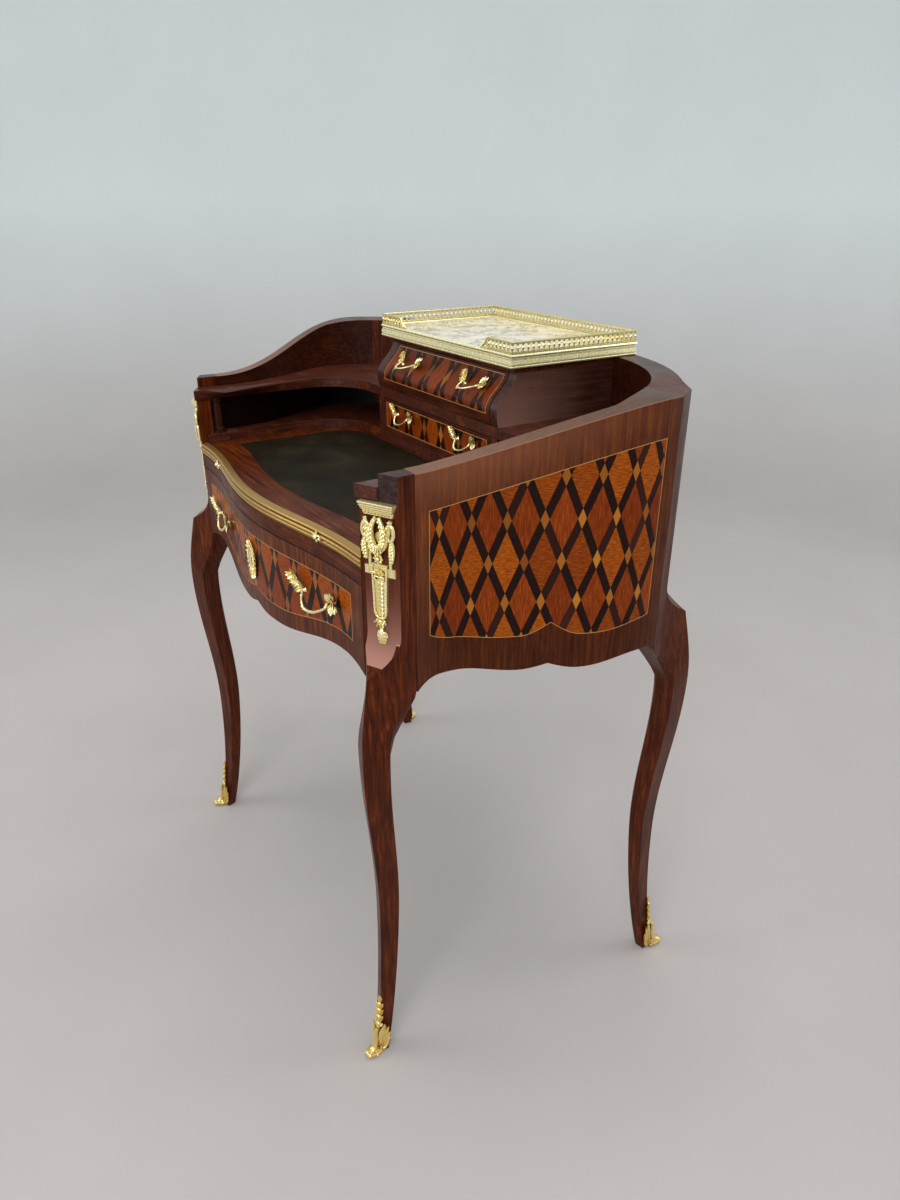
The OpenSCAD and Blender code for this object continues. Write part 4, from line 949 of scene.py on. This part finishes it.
def chute(side):
    shape = Shape()

    def at(x, h, d=0):
        """The point at x and drawn height h, d in front of the mount's back, which follows the leg."""
        sunk = 1.3 * max(0, 1 - (h - 2) / 12) ** 1.5
        return Vector((x + 1.5, -0.2 - d - sunk, SHELF_TOP - (CHUTE_HIGH - h) * CHUTE_SCALE))

    def oblong(x0, x1, high, low, back, front):
        shape.bar([at(x0, high), at(x1, high), at(x1, low), at(x0, low)], back, front)

    def swag(points, big, small, seed):
        """A garland through the points, thick in the middle and covered with leaves."""
        draw = random.Random(seed)
        line = spline([at(*p) for p in points])
        n = len(line)
        size = [small + (big - small) * sin(pi * i / (n - 1)) for i in range(n)]
        shape.tube(line, [0.92 * v for v in size], 12)
        for i in range(1, n - 1, 2):
            t = (line[i + 1] - line[i - 1]).normalized()
            across = t.cross(OUT)
            root = line[i] + OUT * (size[i] * 0.62)
            for j in (-1, 0, 1):
                way = t * 0.7 + across * (0.6 * j) + OUT * 0.35
                shape.leaf(root, way, size[i] * draw.uniform(1.2, 1.5), size[i], 0.9, 0.3, steps=5)

    for top, high, half, out in (
        (168, 2.6, 23, 9.5), (165.2, 2.4, 22, 8.6), (162.6, 2.2, 21, 7.6), (160.2, 1.8, 20, 6.4),
    ):
        rounded = [pi * k / 6 for k in range(7)]
        shape.loft([
            [at(x, top - high * (0.5 - 0.5 * cos(a)), out - 1.3 + 1.3 * sin(a)) for a in rounded]
            + [at(x, top - high), at(x, top)]
            for x in (-half, half)
        ])
    shape.bar([at(-20, 158.6), at(20, 158.6), at(19, 153), at(-19, 153)], 0, 2.2)
    for i in range(9):
        shape.leaf(at(-18 + 4.5 * i, 159, 3.4), (0, 0, -1), 5, 4.8, 1.4, 0.8)
    shape.tube([at(x, 154, 2.8) for x in (-19, -9, 0, 9, 19)], 1.1, 8)

    outer_swag = [(-17, 151, 4), (-13.5, 134, 5), (-7, 120, 5.5)]
    outer_swag += [(0, 116, 6)] + [(-x, h, d) for x, h, d in reversed(outer_swag)]
    swag(outer_swag, 4.4, 2.6, 2)
    for s, seed in ((-1, 3), (1, 4)):
        inner_swag = ((2, 152, 5), (7.5, 141, 6), (8.5, 130, 6), (5, 121, 6), (0, 117, 6))
        swag([(s * x, h, d) for x, h, d in inner_swag], 3.8, 2.6, seed)
    shape.lathe(at(0, 128), OUT, [(0, 7.5), (1, 7.4), (1.6, 6.2), (1.2, 4.5)], 24)
    for s in (-1, 1):
        shape.tube([at(s * 16.2 + x, 137 + h, 4.6) for x, h in oval(4.4, 8.6, 28)], 2.3, 8, loop=True)
        shape.tube([at(s * 16.2 + x, 137 + h, 3.8) for x, h in oval(1.9, 5.2, 20)], 0.9, 6, loop=True)
        swag([(s * 17.5, 129, 4), (s * 18.2, 122, 4), (s * 18, 113, 3.6), (s * 17, 103, 3)], 3.6, 1.8, 5)
        oblong(s * 12, s * 15.6, 128, 95, 0, 2)
        oblong(s * 10, s * 20.5, 95.5, 85.5, 0, 2.6)
        oblong(s * 15, s * 19.2, 94, 87, 2.6, 3.4)
    for a in around(8):
        shape.leaf(at(0, 106, 4), (cos(a), -0.2, sin(a)), 7.2, 4.6, 1.6, 0.6)
    shape.ball(at(0, 106, 6.4), 2.6)

    strap = [(10.5, 99), (10.2, 84), (8.9, 60), (8.4, 40), (6.5, 35.5), (0, 33.5)]
    strap = [(-10.5, 99)] + strap + [(-x, h) for x, h in strap[-2:0:-1]]
    shape.bar([at(x, h) for x, h in strap], 0, 3.2)
    for s in (-1, 1):
        border = ((9.4, 98), (9.2, 84), (8.2, 60), (7.6, 42), (4.6, 36.4), (0, 35))
        shape.tube(spline([at(s * x, h, 4) for x, h in border]), 1.35, 8)
        for k in range(24):
            shape.ball(at(s * (9.4 - 1.4 * k / 23), 96 - 2.35 * k, 5), 0.85, count=6)
        for lean in (25, 60, 100):
            shape.leaf(at(s * 1.5, 88, 4.2), heading(lean, -0.3, s), 8.2, 4.4, 1.4, 0.8)
        curl = [at(s, 84, 4.2), at(s * 5.5, 85, 5), at(s * 6, 81, 5), at(s * 3.2, 80.5, 4.6)]
        shape.tube(spline(curl, 4), 1.2, 8)
    for k in range(8):
        h = 78 - 5 * k
        for s in (-1, 1):
            shape.leaf(at(s * 0.4, h, 3), (s * 0.5, -0.15, -0.9), 6.6, 3.6, 1, 0.4)
        shape.leaf(at(0, h + 1, 3.6), (0, -0.12, -1), 5.8, 3, 1.1, 0.3, steps=5)
    for j, lean in enumerate((-150, -118, -90, -62, -30)):
        long = 12.5 - abs(j - 2) * 0.8
        shape.leaf(at(0, 34, 2.6), heading(lean, -0.25), long, 5.4, 1.8, 1.2, lobes=2, steps=9)
    shape.ball(at(0, 31, 4.4), 3)

    # Bud with four rows of scales.
    shape.lathe(at(0, 21, 2.6), (0, 0, -1), [(-3, 1.4), (0, 2), (1.2, 3.2), (2, 3.4)], 14)
    for row, r in enumerate((4.8, 5.4, 4.3, 2.6)):
        for i in range(7):
            a = pi * (i + 0.5 * (row % 2)) / 6.5
            c, s = cos(a), sin(a)
            root = at(-r * c * 0.95, 18.5 - row * 3.6, 1.2 + r * s * 0.75)
            shape.leaf(root, (-0.35 * c, -0.1, -1), 5.6, 3.6, 1.2, -0.5, (-c, -s, 0), steps=5)
    shape.lathe(at(0, 19, 2.2), (0, 0, -1), [(0, 2.5), (3, 4.4), (8, 4.6), (13, 3), (17.5, 0.4)], 14)
    return shape.moved(moving(**FRONT_LEG, side=side))


for s, side in SIDES:
    chute(s).finish(f"chute_{side}", gold, 55)


# Foot mounts: leaves folded round the arris, a stem with buds above, a scrolled toe in front.
def wrap(x, h, d):
    """A point at x across the arris, at height h, standing d off the leg."""
    a = leg_out(max(h, 0)) * sqrt(2)
    soft = sqrt(x * x + 4) - 2
    lean = radians(45) * tanh(x / 3.5)
    return Vector((x / sqrt(2) + d * sin(lean), -a + soft / sqrt(2) - d * cos(lean), h))


def sabot_leaves():
    """Leaves and stem, drawn flat and then folded round the leg."""
    flat = Shape()
    for s in (-1, 1):
        for angle, size, width in ((78, 44, 16), (66, 34, 18), (50, 23, 16)):
            flat.leaf((s * 1.2, -1.8, 4), heading(angle, -0.03, s), size, width, 2.4, steps=9)
        for angle, size in ((82, 50), (73, 45), (63, 36), (52, 27), (40, 20), (26, 15)):
            flat.leaf((s * 0.8, -1.8, 5), heading(angle, -0.08, s), size, 10.5, 2.2, 0.4, steps=9)
        flat.leaf((s * 5, -2.6, 3), (s * 0.06, 0, 1), 36, 12, 3.2, -1, steps=9)
        for h, size in ((54, 14), (66, 13), (78, 12)):
            flat.leaf((s, -1.6, h), (s * 0.3, -0.12, 1), size, 5.2, 2.4, 0.8)
        flat.ball((s * 3.4, -2.8, 50), 2.8)
    stem = ((6, 4.4), (20, 4), (34, 3.4), (46, 3), (60, 2.6), (74, 2.3), (88, 1.8), (98, 1.2))
    flat.tube([(0, -1.6, h) for h, _ in stem], [r for _, r in stem], 8, 0.8)
    for h, r in ((51, 3.8), (64, 3.4), (76, 3.1), (87, 2.7)):
        flat.ball((0, -2.8, h), r, 1.5)
    flat.leaf((0, -1.4, 90), (0, -0.05, 1), 13, 6, 2.6, 0.3, steps=9)
    return flat.moved(lambda p: wrap(p.x, p.z, -p.y))


def sabot_boot():
    """The boot in front of the leaves, its toe turned up in two scrolls."""
    boot = Shape()
    line = [(-1, 46), (-1.6, 34), (-2.2, 24), (-4, 15), (-8.5, 9.4), (-13, 7.4), (-16.5, 8.4)]
    line = spline([(0, y, z) for y, z in line], 4)
    size = [3 + 3.4 * min(1, 1.3 * i / (len(line) - 1)) ** 2 for i in range(len(line))]
    boot.tube(line, size, 16, 0.8, up=(0, 1, 0))
    sole = [(0, 3, 4.6), (0, -4, 4.6), (0, -10, 4.6), (0, -15, 4.8)]
    boot.tube(sole, [8.8, 8.6, 7.8, 6.4], 16, 0.52, up=(0, 0, 1))
    for s in (-1, 1):
        boot.ball((s * 2.6, -15.6, 6.6), 4.2, 1.1, axis=(1, 0, 0), count=14)
        rim = ((7.6, 2, 16), (8, -1, 9), (7.4, -6, 6.6), (6.2, -11, 6.6), (4.8, -15, 8.2))
        boot.tube(spline([(s * x, y, z) for x, y, z in rim]), 1.4, 8)
        for k in range(3):
            way = (s * (0.12 + 0.2 * k), -0.9, -0.5)
            root = (s * (1.2 + 2.2 * k), -2.4 + k, 14 - 2 * k)
            boot.leaf(root, way, 10, 4.6, 1.8, -1, (0, -0.6, 1), steps=7)
    return boot


def sabot(change, twist):
    """A whole foot mount, with its boot turned by twist and nothing below the floor."""
    whole, boot = sabot_leaves(), sabot_boot()
    for p in boot.points:
        q = turn(p, twist)
        p.x, p.y = q.x, q.y - leg_out(0) * sqrt(2)
    start = len(whole.points)
    whole.points += boot.points
    whole.faces += [tuple(start + i for i in f) for f in boot.faces]
    for p in whole.points:
        p.z = max(p.z, 0.2)
    return whole.moved(change)


for s, side in SIDES:
    for end, leg, twist in (("front", FRONT_LEG, -0.3), ("back", BACK_LEG, -0.35)):
        sabot(moving(**leg, side=s), twist).finish(f"sabot_{end}_{side}", foot_gold, 55)

# Columns under the shelf: heights from below and from above, with shares of the radius.
COLUMN_LOW = ((0, 1), (3, 1), (3.6, 0.8), (4.4, 0.78), (5.2, 0.92), (6.4, 0.95), (7.4, 0.84), (8.4, 0.72))
COLUMN_HIGH = ((8.4, 0.66), (7.4, 0.8), (6.2, 0.86), (5, 0.8), (4.2, 0.74), (3.2, 0.95), (0.2, 1))
for s, side in SIDES:
    lo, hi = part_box(f"column_{side}")
    mid = (lo + hi) / 2 * 1000
    r, h = (hi.x - lo.x) * 500, (hi.z - lo.z) * 1000
    column = Shape()
    profile = [(z, r * share) for z, share in COLUMN_LOW] + [(h * 0.3, r * 0.74), (h * 0.55, r * 0.73)]
    profile += [(h - z, r * share) for z, share in COLUMN_HIGH]
    column.lathe((mid.x, mid.y - SHIFT, lo.z * 1000), (0, 0, 1), profile, 40)
    column.finish(f"column_{side}", column_wood, 40, how="turned", slot="mahogany")

# Camera solved from the photograph, in millimetres and radians.
EYE = (1087.249, -644.149, 1119.832)
YAW, PITCH_DOWN, ROLL = 1.0014, 0.4434, 0.0038
LENS, SENSOR = 25.4955, 36
flat = cos(PITCH_DOWN)
ahead = Vector((-sin(YAW) * flat, cos(YAW) * flat, -sin(PITCH_DOWN)))
right = Vector((cos(YAW), sin(YAW), 0))
up = right.cross(ahead)
across = right * cos(ROLL) + up * sin(ROLL)
above = up * cos(ROLL) - right * sin(ROLL)
data = bpy.data.cameras.new("camera")
data.lens, data.sensor_width = LENS, SENSOR
data.clip_start, data.clip_end = 0.01, 60
camera = new_object("camera", data)
turned = Matrix((across, above, -ahead)).transposed().to_4x4()
camera.matrix_world = Matrix.Translation(place(EYE)) @ turned
bpy.context.scene.camera = camera

# A round floor that curves up into a wall, in metres.
flat, bend, top, count = 2.4, 1.4, 3.8, 96
g = Graph("studio_grey")
tone = g.span(g.noise(g.cm, 0.02), 0.3, 0.7)
floor, wall = g.blend(tone, "#b5afad", "#bbb5b3"), g.blend(tone, "#dfe7e9", "#e3ebed")
paint = g.set(colour=g.blend(g.span(g.z, 2, 110), floor, wall), rough=0.85, specular=0.2)
turns = [pi * k / 32 for k in range(1, 17)]
profile = [(flat, 0)] + [(flat + bend * sin(a), bend - bend * cos(a)) for a in turns] + [(flat + bend, top)]
points, faces = [Vector((0, 0, 0))], []
for r, z in profile:
    points += [Vector((r * cos(a), r * sin(a), z)) for a in around(count)]
for j in range(count):
    k = (j + 1) % count
    faces.append((0, 1 + k, 1 + j))
    for i in range(len(profile) - 1):
        a = 1 + i * count
        faces.append((a + j, a + k, a + count + k, a + count + j))
mesh = bpy.data.meshes.new("studio")
mesh.from_pydata(points, [], faces)
for f in mesh.polygons:
    f.use_smooth = True
mesh.materials.append(paint)
room = new_object("studio", mesh)


def lamp(name, at, aim_z, size, power):
    """A round soft lamp in metres and watts, aimed at a height over the middle of the floor."""
    data = bpy.data.lights.new(name, "AREA")
    data.shape, data.size, data.energy = "DISK", size, power
    made = new_object(name, data)
    made.location = at
    made.rotation_mode = "QUATERNION"
    made.rotation_quaternion = (Vector((0, 0, aim_z)) - Vector(at)).to_track_quat("-Z", "Y")


lamp("lamp_key", (2.1, -2, 2.5), 0.6, 1.8, 50)
lamp("lamp_fill", (-1.4, -2.5, 1.9), 0.6, 1.8, 24)
lamp("lamp_top", (0, 0.3, 3.3), 0.5, 2.6, 38)
lamp("lamp_back", (1.2, 2.6, 2.2), 0.7, 1.6, 18)
world = bpy.context.scene.world = bpy.data.worlds.new("world")
world.use_nodes = True
sky = world.node_tree.nodes["Background"].inputs
sky[0].default_value, sky[1].default_value = (1, 0.98, 0.95, 1), 0.45
bpy.context.scene.view_settings.view_transform = "Standard"
